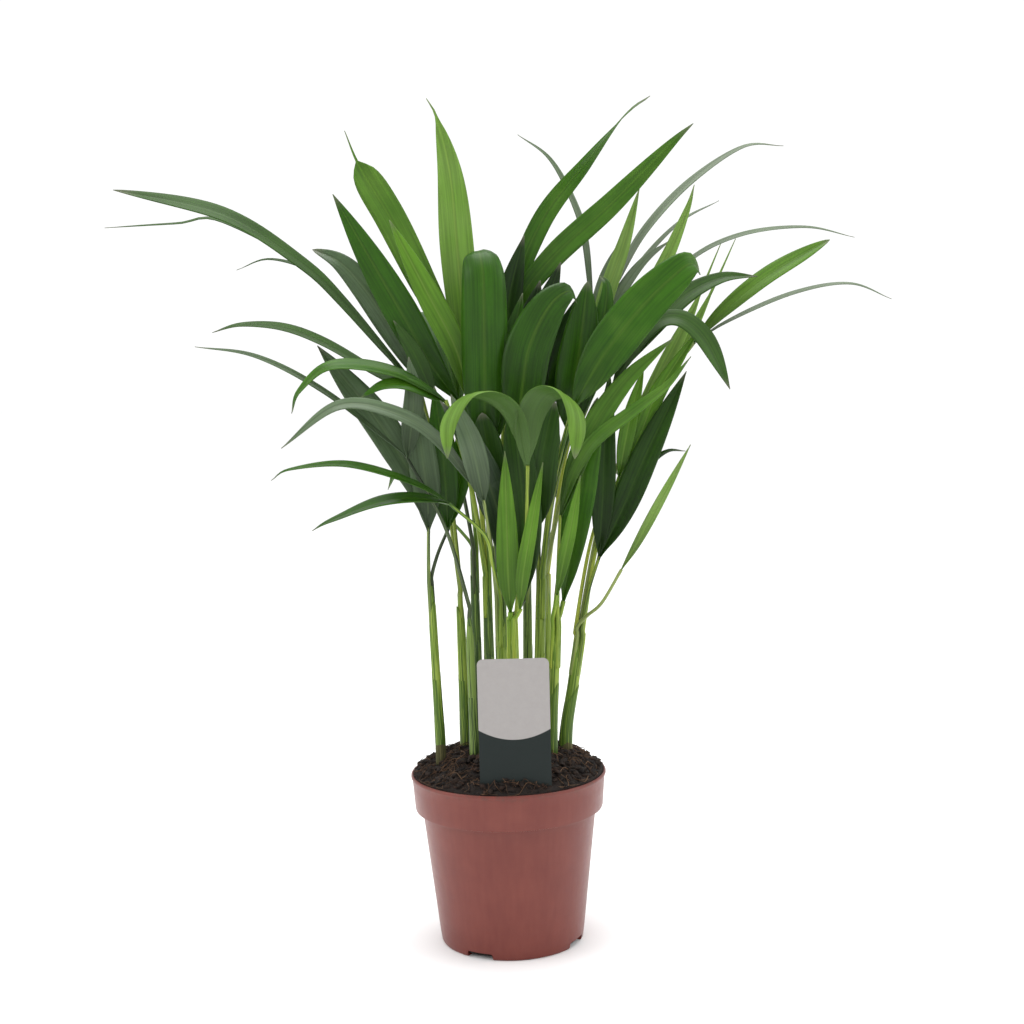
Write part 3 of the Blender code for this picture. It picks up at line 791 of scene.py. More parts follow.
def turn_outward(data):
    """Turns every face of a mesh outward."""
    shape = bmesh.new()
    shape.from_mesh(data)
    bmesh.ops.recalc_face_normals(shape, faces=shape.faces)
    shape.to_mesh(data)
    shape.free()


def add_tube(skin, line, radii, first_side, slot, shade, sides=12, flat=1.0):
    """A closed tube of changing radius, flattened if flat is under one."""
    frames = carry_frames(line, first_side)
    length = line_length(line)
    rings = []
    for number, (point, radius, (side, up, _)) in enumerate(zip(line, radii, frames)):
        t = number / (len(line) - 1)
        turns = [2.0 * math.pi * step / sides for step in range(sides)]
        places = [point + radius * (side * math.cos(turn) + up * (flat * math.sin(turn))) for turn in turns]
        across = [step / sides * 2.0 - 1.0 for step in range(sides)]
        grain = [(turn * radius * MM, t * length * MM) for turn in turns]
        rings.append(skin.ring(places, t, across, [1.0] * sides, shade, grain))
    skin.loft(rings, slot)


# ---------------------------------------------------------------- materials


def linear(hex_colour):
    """An sRGB hex colour as the linear values a shader takes."""
    channels = [int(hex_colour[at : at + 2], 16) / 255.0 for at in (1, 3, 5)]
    return (*(c / 12.92 if c <= 0.04045 else ((c + 0.055) / 1.055) ** 2.4 for c in channels), 1.0)


def add_node(tree, kind, settings=None, inputs=None, stops=None):
    """Adds a node with its settings, its inputs as values or linked sockets, and the stops of a ramp."""
    made = tree.nodes.new(kind)
    for key, value in (settings or {}).items():
        setattr(made, key, value)
    if stops:
        ramp = made.color_ramp.elements
        while len(ramp) < len(stops):
            ramp.new(0.5)
        for element, (place, colour) in zip(ramp, stops):
            element.position = place
            element.color = colour if isinstance(colour, tuple) else (colour, colour, colour, 1.0)
    for key, value in (inputs or {}).items():
        if isinstance(value, bpy.types.NodeSocket):
            tree.links.new(value, made.inputs[key])
        else:
            made.inputs[key].default_value = value
    return made


def start_material(name):
    """An empty node material, which takes the place of an earlier one of its name."""
    material = bpy.data.materials.get(name)
    if material is not None:
        bpy.data.materials.remove(material)
    material = bpy.data.materials.new(name)
    material.use_nodes = True
    tree = material.node_tree
    tree.nodes.clear()
    return material, tree


def leaf_material(tone_name, main_green):
    """Living palm leaf with a waxy skin: a firm sheen, long veins, a pale rib and light glowing through."""
    tone = TONES[tone_name]
    material, tree = start_material("palm_leaf_" + tone_name)
    along, across, upper, shade = (
        add_node(tree, "ShaderNodeAttribute", {"attribute_name": mark}).outputs["Fac"]
        for mark in ("along", "across", "upper", "shade")
    )
    grain = add_node(tree, "ShaderNodeUVMap", {"uv_map": "grain"}).outputs["UV"]
    place = add_node(tree, "ShaderNodeTexCoord").outputs["Object"]

    # broad changes of green over some two centimetres, drawn out along the blade
    blotch = add_node(
        tree,
        "ShaderNodeTexNoise",
        inputs={"Vector": place, "Scale": 1.0 / (BLOTCH_SIZE * MM), "Detail": 3.0, "Roughness": 0.55},
    ).outputs["Fac"]
    uneven = add_node(tree, "ShaderNodeMath", {"operation": "MULTIPLY"}, {0: blotch, 1: 0.4}).outputs[0]
    # the leaf's age and painted light, in its shade mark, move its green along the ramp together with the
    # blotches
    shifted = add_node(
        tree, "ShaderNodeMath", {"operation": "MULTIPLY_ADD"}, {0: shade, 1: 0.8, 2: uneven}
    ).outputs[0]
    green = add_node(
        tree,
        "ShaderNodeValToRGB",
        stops=[(0.12, linear(tone.deep)), (0.50, main_green), (1.0, linear(tone.young))],
        inputs={"Fac": shifted},
    ).outputs["Color"]

    # the ribs between the veins, as wide as a real one's
    streak_place = add_node(
        tree,
        "ShaderNodeMapping",
        inputs={"Vector": grain, "Scale": (1.0 / (VEIN_SPACING * MM), 1.0 / (60.0 * MM), 1.0)},
    ).outputs["Vector"]
    streak = add_node(
        tree,
        "ShaderNodeTexNoise",
        {"noise_dimensions": "2D"},
        {"Vector": streak_place, "Scale": 1.0, "Detail": 2.0, "Roughness": 0.5},
    ).outputs["Fac"]
    streak_depth = add_node(
        tree,
        "ShaderNodeMapRange",
        inputs={"Value": streak, "From Min": 0.3, "From Max": 0.7, "To Min": 0.84, "To Max": 1.18},
    ).outputs["Result"]
    striped = add_node(
        tree,
        "ShaderNodeMix",
        {"data_type": "RGBA", "blend_type": "MULTIPLY"},
        {0: 1.0, 6: green, 7: streak_depth},
    ).outputs[2]

    # the blade darkens towards its root: partly its own deeper green there, partly painted shade from the
    # crown round it
    root_shade = add_node(
        tree,
        "ShaderNodeMapRange",
        {"interpolation_type": "SMOOTHSTEP"},
        {"Value": along, "From Min": 0.05, "From Max": 0.60, "To Min": 0.55, "To Max": 1.05},
    ).outputs["Result"]
    root_shaded = add_node(
        tree,
        "ShaderNodeMix",
        {"data_type": "RGBA", "blend_type": "MULTIPLY"},
        {0: 1.0, 6: striped, 7: root_shade},
    ).outputs[2]

    # the pale rib down the middle
    off_rib = add_node(tree, "ShaderNodeMath", {"operation": "ABSOLUTE"}, {0: across}).outputs[0]
    rib = add_node(
        tree,
        "ShaderNodeMapRange",
        {"interpolation_type": "SMOOTHSTEP"},
        {"Value": off_rib, "From Min": 0.02, "From Max": 0.12, "To Min": 0.35, "To Max": 0.0},
    ).outputs["Result"]
    ribbed = add_node(
        tree, "ShaderNodeMix", {"data_type": "RGBA"}, {0: rib, 6: root_shaded, 7: linear(tone.rib)}
    ).outputs[2]

    # the paler, greyer underside
    sided = add_node(
        tree, "ShaderNodeMix", {"data_type": "RGBA"}, {0: upper, 6: linear(tone.under), 7: ribbed}
    ).outputs[2]

    # the last of the tip dries to a greyish straw
    tip = add_node(
        tree,
        "ShaderNodeMapRange",
        {"interpolation_type": "SMOOTHSTEP"},
        {"Value": along, "From Min": 0.92, "From Max": 1.0, "To Min": 0.0, "To Max": 0.6},
    ).outputs["Result"]
    coloured = add_node(
        tree, "ShaderNodeMix", {"data_type": "RGBA"}, {0: tip, 6: sided, 7: linear("#7a7868")}
    ).outputs[2]

    # bump only: the channels between the veins, and finer veins drawn coarse enough to show
    fine_place = add_node(
        tree,
        "ShaderNodeMapping",
        inputs={"Vector": grain, "Scale": (1.0 / (FINE_VEIN_SPACING * MM), 1.0 / (40.0 * MM), 1.0)},
    ).outputs["Vector"]
    fine = add_node(
        tree,
        "ShaderNodeTexNoise",
        {"noise_dimensions": "2D"},
        {"Vector": fine_place, "Scale": 1.0, "Detail": 0.0},
    ).outputs["Fac"]
    relief = add_node(
        tree, "ShaderNodeMath", {"operation": "MULTIPLY_ADD"}, {0: fine, 1: 0.3, 2: streak}
    ).outputs[0]
    bump = add_node(
        tree, "ShaderNodeBump", inputs={"Height": relief, "Strength": 0.35, "Distance": 0.12 * MM}
    ).outputs["Normal"]
    rough = add_node(
        tree,
        "ShaderNodeMapRange",
        inputs={
            "Value": shifted,
            "From Min": 0.1,
            "From Max": 0.9,
            "To Min": tone.roughness - 0.06,
            "To Max": tone.roughness + 0.10,
        },
    ).outputs["Result"]
    skin = add_node(
        tree,
        "ShaderNodeBsdfPrincipled",
        inputs={
            "Base Color": coloured,
            "Roughness": rough,
            "IOR": 1.45,
            "Specular IOR Level": 0.3,
            "Normal": bump,
        },
    ).outputs["BSDF"]

    # about a quarter of the light goes through the blade
    glow = add_node(
        tree,
        "ShaderNodeMix",
        {"data_type": "RGBA", "blend_type": "MULTIPLY"},
        {0: 1.0, 6: linear(tone.through), 7: streak_depth},
    ).outputs[2]
    through = add_node(
        tree, "ShaderNodeBsdfTranslucent", inputs={"Color": glow, "Normal": bump}
    ).outputs["BSDF"]
    both = add_node(tree, "ShaderNodeMixShader", inputs={0: 0.24, 1: skin, 2: through}).outputs["Shader"]
    add_node(tree, "ShaderNodeOutputMaterial", inputs={"Surface": both})
    return material


def stalk_material(name, colours):
    """Smooth green stalk skin: a satin sheen, pale lengthwise streaks partly painted as highlights and glow,
    painted shade in the channels between, fading from foot to end.
    """
    foot, middle, end, pale = (linear(colour) for colour in colours)
    material, tree = start_material(name)
    along = add_node(tree, "ShaderNodeAttribute", {"attribute_name": "along"}).outputs["Fac"]
    shade = add_node(tree, "ShaderNodeAttribute", {"attribute_name": "shade"}).outputs["Fac"]
    grain = add_node(tree, "ShaderNodeUVMap", {"uv_map": "grain"}).outputs["UV"]
    fade = add_node(
        tree,
        "ShaderNodeValToRGB",
        stops=[(0.0, foot), (0.30, middle), (1.0, end)],
        inputs={"Fac": along},
    ).outputs["Color"]
    streak_place = add_node(
        tree,
        "ShaderNodeMapping",
        inputs={"Vector": grain, "Scale": (1.0 / (0.9 * MM), 1.0 / (45.0 * MM), 1.0)},
    ).outputs["Vector"]
    streak = add_node(
        tree,
        "ShaderNodeTexNoise",
        {"noise_dimensions": "2D"},
        {"Vector": streak_place, "Scale": 1.0, "Detail": 4.0, "Roughness": 0.6},
    ).outputs["Fac"]

    # pale streaks under a millimetre wide, partly the stalk's own stripes and partly painted highlights and
    # glow at its channel edges, more of them the lighter the stalk is
    amount = add_node(
        tree, "ShaderNodeMath", {"operation": "MULTIPLY_ADD"}, {0: shade, 1: 0.35, 2: streak}
    ).outputs[0]
    lit = add_node(
        tree,
        "ShaderNodeMapRange",
        {"interpolation_type": "SMOOTHSTEP"},
        {"Value": amount, "From Min": 0.52, "From Max": 0.76, "To Min": 0.0, "To Max": 0.85},
    ).outputs["Result"]
    streaked = add_node(
        tree, "ShaderNodeMix", {"data_type": "RGBA"}, {0: lit, 6: fade, 7: pale}
    ).outputs[2]

    # painted shade: the channels between them are darkened by up to nearly half
    groove_shade = add_node(
        tree,
        "ShaderNodeMapRange",
        {"interpolation_type": "SMOOTHSTEP"},
        {"Value": streak, "From Min": 0.30, "From Max": 0.50, "To Min": 0.55, "To Max": 1.0},
    ).outputs["Result"]
    coloured = add_node(
        tree,
        "ShaderNodeMix",
        {"data_type": "RGBA", "blend_type": "MULTIPLY"},
        {0: 1.0, 6: streaked, 7: groove_shade},
    ).outputs[2]
    bump = add_node(
        tree, "ShaderNodeBump", inputs={"Height": streak, "Strength": 0.4, "Distance": 0.15 * MM}
    ).outputs["Normal"]
    rough = add_node(
        tree, "ShaderNodeMapRange", inputs={"Value": streak, "To Min": 0.36, "To Max": 0.54}
    ).outputs["Result"]
    skin = add_node(
        tree,
        "ShaderNodeBsdfPrincipled",
        inputs={
            "Base Color": coloured,
            "Roughness": rough,
            "IOR": 1.45,
            "Specular IOR Level": 0.3,
            "Normal": bump,
        },
    ).outputs["BSDF"]
    add_node(tree, "ShaderNodeOutputMaterial", inputs={"Surface": skin})
    return material


def scale_leaf_material():
    """Dry papery scale leaf at the foot of a cane: thin, dull and streaked brown."""
    material, tree = start_material("dry_scale_leaf")
    grain = add_node(tree, "ShaderNodeUVMap", {"uv_map": "grain"}).outputs["UV"]
    streak_place = add_node(
        tree,
        "ShaderNodeMapping",
        inputs={"Vector": grain, "Scale": (1.0 / (0.6 * MM), 1.0 / (14.0 * MM), 1.0)},
    ).outputs["Vector"]
    streak = add_node(
        tree,
        "ShaderNodeTexNoise",
        {"noise_dimensions": "2D"},
        {"Vector": streak_place, "Scale": 1.0, "Detail": 5.0, "Roughness": 0.65},
    ).outputs["Fac"]
    colour = add_node(
        tree,
        "ShaderNodeValToRGB",
        stops=[(0.32, linear("#302f18")), (0.52, linear("#4a4828")), (0.72, linear("#645f3c"))],
        inputs={"Fac": streak},
    ).outputs["Color"]
    bump = add_node(
        tree, "ShaderNodeBump", inputs={"Height": streak, "Strength": 0.6, "Distance": 0.3 * MM}
    ).outputs["Normal"]
    rough = add_node(
        tree, "ShaderNodeMapRange", inputs={"Value": streak, "To Min": 0.75, "To Max": 0.95}
    ).outputs["Result"]
    skin = add_node(
        tree,
        "ShaderNodeBsdfPrincipled",
        inputs={"Base Color": colour, "Roughness": rough, "IOR": 1.4, "Normal": bump},
    ).outputs["BSDF"]
    add_node(tree, "ShaderNodeOutputMaterial", inputs={"Surface": skin})
    return material


def peat_material(name, wet, damp, dry):
    """Damp shredded peat: near black where wet, red-brown where its fibres dry, dull and crumbly."""
    material, tree = start_material(name)
    place = add_node(tree, "ShaderNodeTexCoord").outputs["Object"]
    shade = add_node(tree, "ShaderNodeAttribute", {"attribute_name": "shade"}).outputs["Fac"]
    # clods of some 6 mm set the colour, and grit of a millimetre roughens it
    clods = add_node(
        tree,
        "ShaderNodeTexNoise",
        inputs={"Vector": place, "Scale": 1.0 / (6.0 * MM), "Detail": 6.0, "Roughness": 0.7},
    ).outputs["Fac"]
    amount = add_node(
        tree, "ShaderNodeMath", {"operation": "MULTIPLY_ADD"}, {0: shade, 1: 0.5, 2: clods}
    ).outputs[0]
    colour = add_node(
        tree,
        "ShaderNodeValToRGB",
        stops=[(0.42, wet), (0.68, damp), (0.95, dry)],
        inputs={"Fac": amount},
    ).outputs["Color"]
    grit = add_node(
        tree,
        "ShaderNodeTexNoise",
        inputs={"Vector": place, "Scale": 1.0 / (1.1 * MM), "Detail": 4.0, "Roughness": 0.75},
    ).outputs["Fac"]
    relief = add_node(tree, "ShaderNodeMath", {"operation": "ADD"}, {0: clods, 1: grit}).outputs[0]
    bump = add_node(
        tree, "ShaderNodeBump", inputs={"Height": relief, "Strength": 0.9, "Distance": 0.8 * MM}
    ).outputs["Normal"]
    rough = add_node(
        tree, "ShaderNodeMapRange", inputs={"Value": grit, "To Min": 0.72, "To Max": 0.98}
    ).outputs["Result"]
    skin = add_node(
        tree,
        "ShaderNodeBsdfPrincipled",
        inputs={"Base Color": colour, "Roughness": rough, "IOR": 1.4, "Normal": bump},
    ).outputs["BSDF"]
    add_node(tree, "ShaderNodeOutputMaterial", inputs={"Surface": skin})
    return material


def pot_material(colour, worn):
    """Injection-moulded clay-red polypropylene: even satin, faint flow lines, some peat dust at the rim."""
    material, tree = start_material("polypropylene_clay_red")
    place = add_node(tree, "ShaderNodeTexCoord").outputs["Object"]
    height = add_node(tree, "ShaderNodeSeparateXYZ", inputs={0: place}).outputs["Z"]
    # flow lines some 3 mm apart and 40 mm long, drawn stronger than they are so that they show
    flow_place = add_node(
        tree,
        "ShaderNodeMapping",
        inputs={"Vector": place, "Scale": (1.0 / (3.0 * MM), 1.0 / (3.0 * MM), 1.0 / (40.0 * MM))},
    ).outputs["Vector"]
    flow = add_node(
        tree, "ShaderNodeTexNoise", inputs={"Vector": flow_place, "Scale": 1.0, "Detail": 3.0}
    ).outputs["Fac"]
    cloud = add_node(
        tree,
        "ShaderNodeTexNoise",
        inputs={"Vector": place, "Scale": 1.0 / (28.0 * MM), "Detail": 4.0, "Roughness": 0.6},
    ).outputs["Fac"]
    mixed = add_node(
        tree, "ShaderNodeMath", {"operation": "MULTIPLY_ADD"}, {0: flow, 1: 0.45, 2: cloud}
    ).outputs[0]
    body = add_node(
        tree,
        "ShaderNodeValToRGB",
        stops=[(0.45, colour), (1.0, worn)],
        inputs={"Fac": mixed},
    ).outputs["Color"]
    # peat dust in specks of some 5 mm, thickest in the last centimetre under the lip
    dust = add_node(
        tree,
        "ShaderNodeTexNoise",
        inputs={"Vector": place, "Scale": 1.0 / (5.0 * MM), "Detail": 6.0, "Roughness": 0.72},
    ).outputs["Fac"]
    near_rim = add_node(
        tree,
        "ShaderNodeMapRange",
        {"interpolation_type": "SMOOTHSTEP"},
        {
            "Value": height,
            "From Min": (POT_HEIGHT - 13.0) * MM,
            "From Max": (POT_HEIGHT + 1.0) * MM,
            "To Min": 0.0,
            "To Max": 0.34,
        },
    ).outputs["Result"]
    dusty = add_node(tree, "ShaderNodeMath", {"operation": "ADD"}, {0: dust, 1: near_rim}).outputs[0]
    dust_on = add_node(
        tree,
        "ShaderNodeMapRange",
        {"interpolation_type": "SMOOTHSTEP"},
        {"Value": dusty, "From Min": 0.74, "From Max": 0.98, "To Min": 0.0, "To Max": 0.55},
    ).outputs["Result"]
    coloured = add_node(
        tree, "ShaderNodeMix", {"data_type": "RGBA"}, {0: dust_on, 6: body, 7: linear("#4a2f25")}
    ).outputs[2]
    peel = add_node(
        tree, "ShaderNodeTexNoise", inputs={"Vector": place, "Scale": 1.0 / (1.2 * MM), "Detail": 2.0}
    ).outputs["Fac"]
    relief = add_node(
        tree, "ShaderNodeMath", {"operation": "MULTIPLY_ADD"}, {0: flow, 1: 0.6, 2: peel}
    ).outputs[0]
    bump = add_node(
        tree, "ShaderNodeBump", inputs={"Height": relief, "Strength": 0.10, "Distance": 0.2 * MM}
    ).outputs["Normal"]
    rough = add_node(
        tree,
        "ShaderNodeMapRange",
        inputs={"Value": dusty, "From Min": 0.3, "From Max": 1.0, "To Min": 0.30, "To Max": 0.48},
    ).outputs["Result"]
    skin = add_node(
        tree,
        "ShaderNodeBsdfPrincipled",
        inputs={"Base Color": coloured, "Roughness": rough, "IOR": 1.49, "Normal": bump},
    ).outputs["BSDF"]
    add_node(tree, "ShaderNodeOutputMaterial", inputs={"Surface": skin})
    return material


def card_material(pale, deep, line_edge, line_middle):
    """Matt printed polystyrene card: a pale field over a deep green one that meets it in a sagging curve."""
    centre_x = (LABEL_LOW.x + LABEL_HIGH.x) / 2.0
    half_width = (LABEL_HIGH.x - LABEL_LOW.x) / 2.0
    material, tree = start_material("polystyrene_card")
    place = add_node(tree, "ShaderNodeTexCoord").outputs["Object"]
    parts = add_node(tree, "ShaderNodeSeparateXYZ", inputs={0: place})
    off = add_node(
        tree, "ShaderNodeMath", {"operation": "SUBTRACT"}, {0: parts.outputs["X"], 1: centre_x}
    ).outputs[0]
    across = add_node(tree, "ShaderNodeMath", {"operation": "DIVIDE"}, {0: off, 1: half_width}).outputs[0]
    squared = add_node(tree, "ShaderNodeMath", {"operation": "POWER"}, {0: across, 1: 2.0}).outputs[0]
    line = add_node(
        tree,
        "ShaderNodeMath",
        {"operation": "MULTIPLY_ADD"},
        {0: squared, 1: line_edge - line_middle, 2: line_middle},
    ).outputs[0]
    above = add_node(
        tree, "ShaderNodeMath", {"operation": "SUBTRACT"}, {0: parts.outputs["Z"], 1: line}
    ).outputs[0]
    field = add_node(
        tree,
        "ShaderNodeMapRange",
        inputs={"Value": above, "From Min": -0.15 * MM, "From Max": 0.15 * MM},
    ).outputs["Result"]
    # ink and card vary over a few millimetres, less than a tenth of a shade
    mottle = add_node(
        tree,
        "ShaderNodeTexNoise",
        inputs={"Vector": place, "Scale": 1.0 / (4.0 * MM), "Detail": 5.0, "Roughness": 0.7},
    ).outputs["Fac"]
    depth = add_node(
        tree, "ShaderNodeMapRange", inputs={"Value": mottle, "To Min": 0.90, "To Max": 1.08}
    ).outputs["Result"]
    printed = add_node(
        tree, "ShaderNodeMix", {"data_type": "RGBA"}, {0: field, 6: deep, 7: pale}
    ).outputs[2]
    coloured = add_node(
        tree,
        "ShaderNodeMix",
        {"data_type": "RGBA", "blend_type": "MULTIPLY"},
        {0: 1.0, 6: printed, 7: depth},
    ).outputs[2]
    tooth = add_node(
        tree, "ShaderNodeTexNoise", inputs={"Vector": place, "Scale": 1.0 / (0.7 * MM), "Detail": 3.0}
    ).outputs["Fac"]
    bump = add_node(
        tree, "ShaderNodeBump", inputs={"Height": tooth, "Strength": 0.08, "Distance": 0.1 * MM}
    ).outputs["Normal"]
    rough = add_node(
        tree, "ShaderNodeMapRange", inputs={"Value": mottle, "To Min": 0.46, "To Max": 0.60}
    ).outputs["Result"]
    skin = add_node(
        tree,
        "ShaderNodeBsdfPrincipled",
        inputs={
            "Base Color": coloured,
            "Roughness": rough,
            "IOR": 1.57,
            "Specular IOR Level": 0.25,
            "Normal": bump,
        },
    ).outputs["BSDF"]
    add_node(tree, "ShaderNodeOutputMaterial", inputs={"Surface": skin})
    return material


def paper_material(colour):
    """Seamless white studio paper: matt, with a faint tooth."""
    material, tree = start_material("studio_paper")
    place = add_node(tree, "ShaderNodeTexCoord").outputs["Object"]
    tooth = add_node(
        tree, "ShaderNodeTexNoise", inputs={"Vector": place, "Scale": 1.0 / (2.0 * MM), "Detail": 2.0}
    ).outputs["Fac"]
    bump = add_node(
        tree, "ShaderNodeBump", inputs={"Height": tooth, "Strength": 0.03, "Distance": 0.1 * MM}
    ).outputs["Normal"]
    skin = add_node(
        tree,
        "ShaderNodeBsdfPrincipled",
        inputs={"Base Color": colour, "Roughness": 0.9, "Specular IOR Level": 0.1, "Normal": bump},
    ).outputs["BSDF"]
    add_node(tree, "ShaderNodeOutputMaterial", inputs={"Surface": skin})
    return material


# ---------------------------------------------------------------- shapes of the plant


def crown_radius(name):
    """Radius of the ring of stalks where they leave their stem, out to their skins."""
    stalks = sum(leaf.stem == name for leaf in LEAVES.values())
    return (STALK_BASE + STALK_GAP / 2.0) / math.sin(math.pi / max(2, stalks)) + STALK_BASE


def stem_line(stem, steps):
    """A stem's middle line, plumb through the peat and leaning from there on."""
    foot = Vector((stem.x, stem.y, SOCKET_FLOOR + GAP))
    soil_line = Vector((stem.x, stem.y, HEAP_EDGE + HEAP_HEIGHT + 2.0))
    top = Vector((stem.top_x, stem.top_y, stem.top_z))
    return smooth_line([foot, soil_line, soil_line.lerp(top, 0.5), top], steps)


def stalk_feet(stem_name):
    """Where each leaf of a stem starts: round the stem's top, in the order of the ways that the leaves go."""
    stem = STEMS[stem_name]
    top = Vector((stem.top_x, stem.top_y, stem.top_z + GAP))
    rise = top - Vector((stem.x, stem.y, HEAP_EDGE + HEAP_HEIGHT))
    own = [name for name, leaf in LEAVES.items() if leaf.stem == stem_name]
    ways = {name: Vector(LEAVES[name].stalk[0]) - top for name in own}
    own.sort(key=lambda name: math.atan2(ways[name].y, ways[name].x))
    total = Vector((0.0, 0.0))
    for number, name in enumerate(own):
        angle = math.atan2(ways[name].y, ways[name].x) - 2.0 * math.pi * number / len(own)
        total += Vector((math.cos(angle), math.sin(angle)))
    first = math.atan2(total.y, total.x)
    ring = (STALK_BASE + STALK_GAP / 2.0) / math.sin(math.pi / len(own)) if len(own) > 1 else 0.0
    feet = {}
    for number, name in enumerate(own):
        angle = first + 2.0 * math.pi * number / len(own)
        side = Vector((math.cos(angle), math.sin(angle), 0.0))
        side.z = -side.dot(rise) / rise.z
        feet[name] = top + ring * side
    return feet


def stalk_line(foot, stem, stalk):
    """From inside the stem's rolled sheaths, straight out of its top, then over to the stalk's own points."""
    first = Vector(stalk[0])
    early = foot + Vector((0.0, 0.0, 6.0))
    # half way to its first point the stalk stands a little higher and nearer its stem than a straight line
    knee = foot.lerp(first, 0.5)
    knee.z += 0.06 * (first - foot).length
    knee.x -= 0.12 * (first.x - foot.x)
    knee.y -= 0.12 * (first.y - foot.y)
    down = Vector((stem.top_x, stem.top_y, stem.top_z)) - stem_line(stem, 6)[4]
    root = foot - down.normalized() * STALK_INSIDE
    return smooth_line([root, foot, early, knee, *(Vector(point) for point in stalk)], STALK_STEPS)


def blade_share(t, blade):
    """Half width at a share of the blade's length, as a share of its widest: a slim root, then its tip."""
    if t < blade.widest:
        return ROOT_SHARE + (1.0 - ROOT_SHARE) * math.sin(0.5 * math.pi * t / blade.widest) ** 0.8
    s = min(1.0, (t - blade.widest) / (1.0 - blade.tail - blade.widest))
    drawn_out = math.cos(0.5 * math.pi * s) ** 0.85
    rounded = math.sqrt(1.0 - s**3.5)
    return drawn_out + blade.blunt * (rounded - drawn_out)


def blade_fold(t):
    """How far each half stands up from flat, in radians: most at the root, least in the middle."""
    at_root = ROOT_FOLD * math.exp(-((t / 0.11) ** 2))
    at_tip = TIP_FOLD * max(0.0, (t - 0.75) / 0.25) ** 2
    return MIDDLE_FOLD + at_root + at_tip


def add_blade(skin, root, blade, slot, shade, rng):
    """A thin closed blade with a folded rib, shallow pleats, slack margins and a drawn-out tip."""
    line = smooth_line([root, *(Vector(point) for point in blade.points)], BLADE_STEPS)
    turn = math.radians(blade.turn)
    frames = carry_frames(line, Vector((math.cos(turn), math.sin(turn), 0.0)))
    length = line_length(line)
    slack = rng.uniform(0.5, 1.0)
    phases = (rng.uniform(0.0, 6.28), rng.uniform(0.0, 6.28))
    wander = rng.uniform(-0.10, 0.10)
    one_side = rng.uniform(-0.09, 0.09)
    rings = []
    for number, (point, (side, _, along)) in enumerate(zip(line, frames)):
        t = number / BLADE_STEPS
        twist = math.radians(blade.twist) * t**3 + wander * math.sin(math.pi * t)
        across = Matrix.Rotation(twist, 3, along) @ side
        up = across.cross(along)
        tail_left = min(1.0, (1.0 - t) / blade.tail) if blade.tail else 0.0
        half = max(THREAD + TAIL_THREAD * tail_left, blade.width / 2.0 * blade_share(t, blade))
        fold = blade_fold(t)
        thick = min(BLADE_THICK, 1.2 * half) / 2.0
        top, bottom = [], []
        for u in BLADE_ACROSS:
            angle = fold + one_side * math.copysign(1.0, u)
            out = half * u * math.cos(angle)
            lift = half * abs(u) * math.sin(angle) - 0.30 * half * u * u * math.sin(fold)
            phase = phases[0] if u < 0 else phases[1]
            lift -= blade.cup * half * u * u * min(1.0, 2.5 * t)
            lift += SLACK_HEIGHT * slack * half * u * u * math.sin(SLACK_WAVE * t + phase)
            lift += PLEAT_DEPTH * min(1.0, half / 5.0) * math.cos(math.pi * PLEATS * abs(u))
            middle = point + across * out + up * lift
            slope = math.copysign(math.sin(angle), u) * min(1.0, abs(u) / 0.12)
            face = (up * math.cos(angle) - across * slope).normalized()
            top.append(middle + face * thick)
            bottom.append(middle - face * thick)
        places = top + bottom[::-1]
        marks = [*BLADE_ACROSS, *BLADE_ACROSS[::-1]]
        sides = [1.0] * len(top) + [0.0] * len(bottom)
        grain = [(u * half * MM, t * length * MM) for u in marks]
        rings.append(skin.ring(places, t, marks, sides, shade, grain))
    skin.loft(rings, slot)


def build_leaf(name, leaf, foot, materials, stalk_scale):
    """One leaf as it grew: its stalk, swollen a little where the blades part, and its blades."""
    rng = random.Random("leaf " + name)
    skin = Skin()
    # the leaf's age and painted light, which together set how light its green is
    shade = LEAF_AGES_AND_LIGHT.get(name, rng.uniform(0.1, 0.5))
    line = stalk_line(foot, STEMS[leaf.stem], leaf.stalk)
    radii = []
    for step in range(STALK_STEPS + 1):
        t = step / STALK_STEPS
        swell = 0.10 * math.exp(-(((t - 0.97) / 0.03) ** 2))
        radii.append(stalk_scale * (STALK_BASE + (STALK_TIP - STALK_BASE) * t + swell))
    add_tube(skin, line, radii, Vector((1.0, 0.0, 0.0)), 1, shade, sides=10, flat=0.88)
    back = (line[-3] - line[-1]).normalized()
    for number, blade in enumerate(leaf.blades):
        root = line[-1] + back * (ROOT_INSET + ROOT_SPACING * number)
        age_and_light = BLADE_AGES_AND_LIGHT.get((name, number), shade + rng.uniform(-0.08, 0.08))
        slot = 2 if (name, number) in BLADE_TONES else 0
        add_blade(skin, root, blade, slot, age_and_light, rng)
    return skin.to_object("leaf_" + name + "_grown", materials)


def add_sheath(skin, line, radii, reach, mouth, lean, slot, shade, thick=0.28, sides=16):
    """A thin tube rolled round the cane for a share of its length, that ends in a slanting mouth."""
    steps = max(3, round(reach * (len(line) - 1)))
    frames = carry_frames(line, Vector((1.0, 0.0, 0.0)))
    length = line_length(line)
    outer, inner = [], []
    for number in range(steps + 1):
        t = number / (len(line) - 1)
        last = (number / steps) ** 4
        for rows, offset in ((outer, thick), (inner, 0.02)):
            places = []
            for step in range(sides):
                angle = 2.0 * math.pi * step / sides
                side, up, along = frames[number]
                slant = mouth * last * (0.5 + 0.5 * math.cos(angle - lean)) ** 1.6
                radius = radii[number] + offset * (1.0 - 0.8 * last)
                outward = side * math.cos(angle) + up * math.sin(angle)
                places.append(line[number] + radius * outward + along * slant)
            turns = [2.0 * math.pi * step / sides for step in range(sides)]
            grain = [(turn * radii[number] * MM, t * length * MM) for turn in turns]
            across = [step / sides * 2.0 - 1.0 for step in range(sides)]
            rows.append(skin.ring(places, t, across, [1.0] * sides, shade, grain))
    wall = outer + inner[::-1]
    for one, other in zip(wall, wall[1:] + wall[:1]):
        for number in range(sides):
            after = (number + 1) % sides
            skin.faces.append((one[number], one[after], other[after], other[number]))
            skin.slots.append(slot)


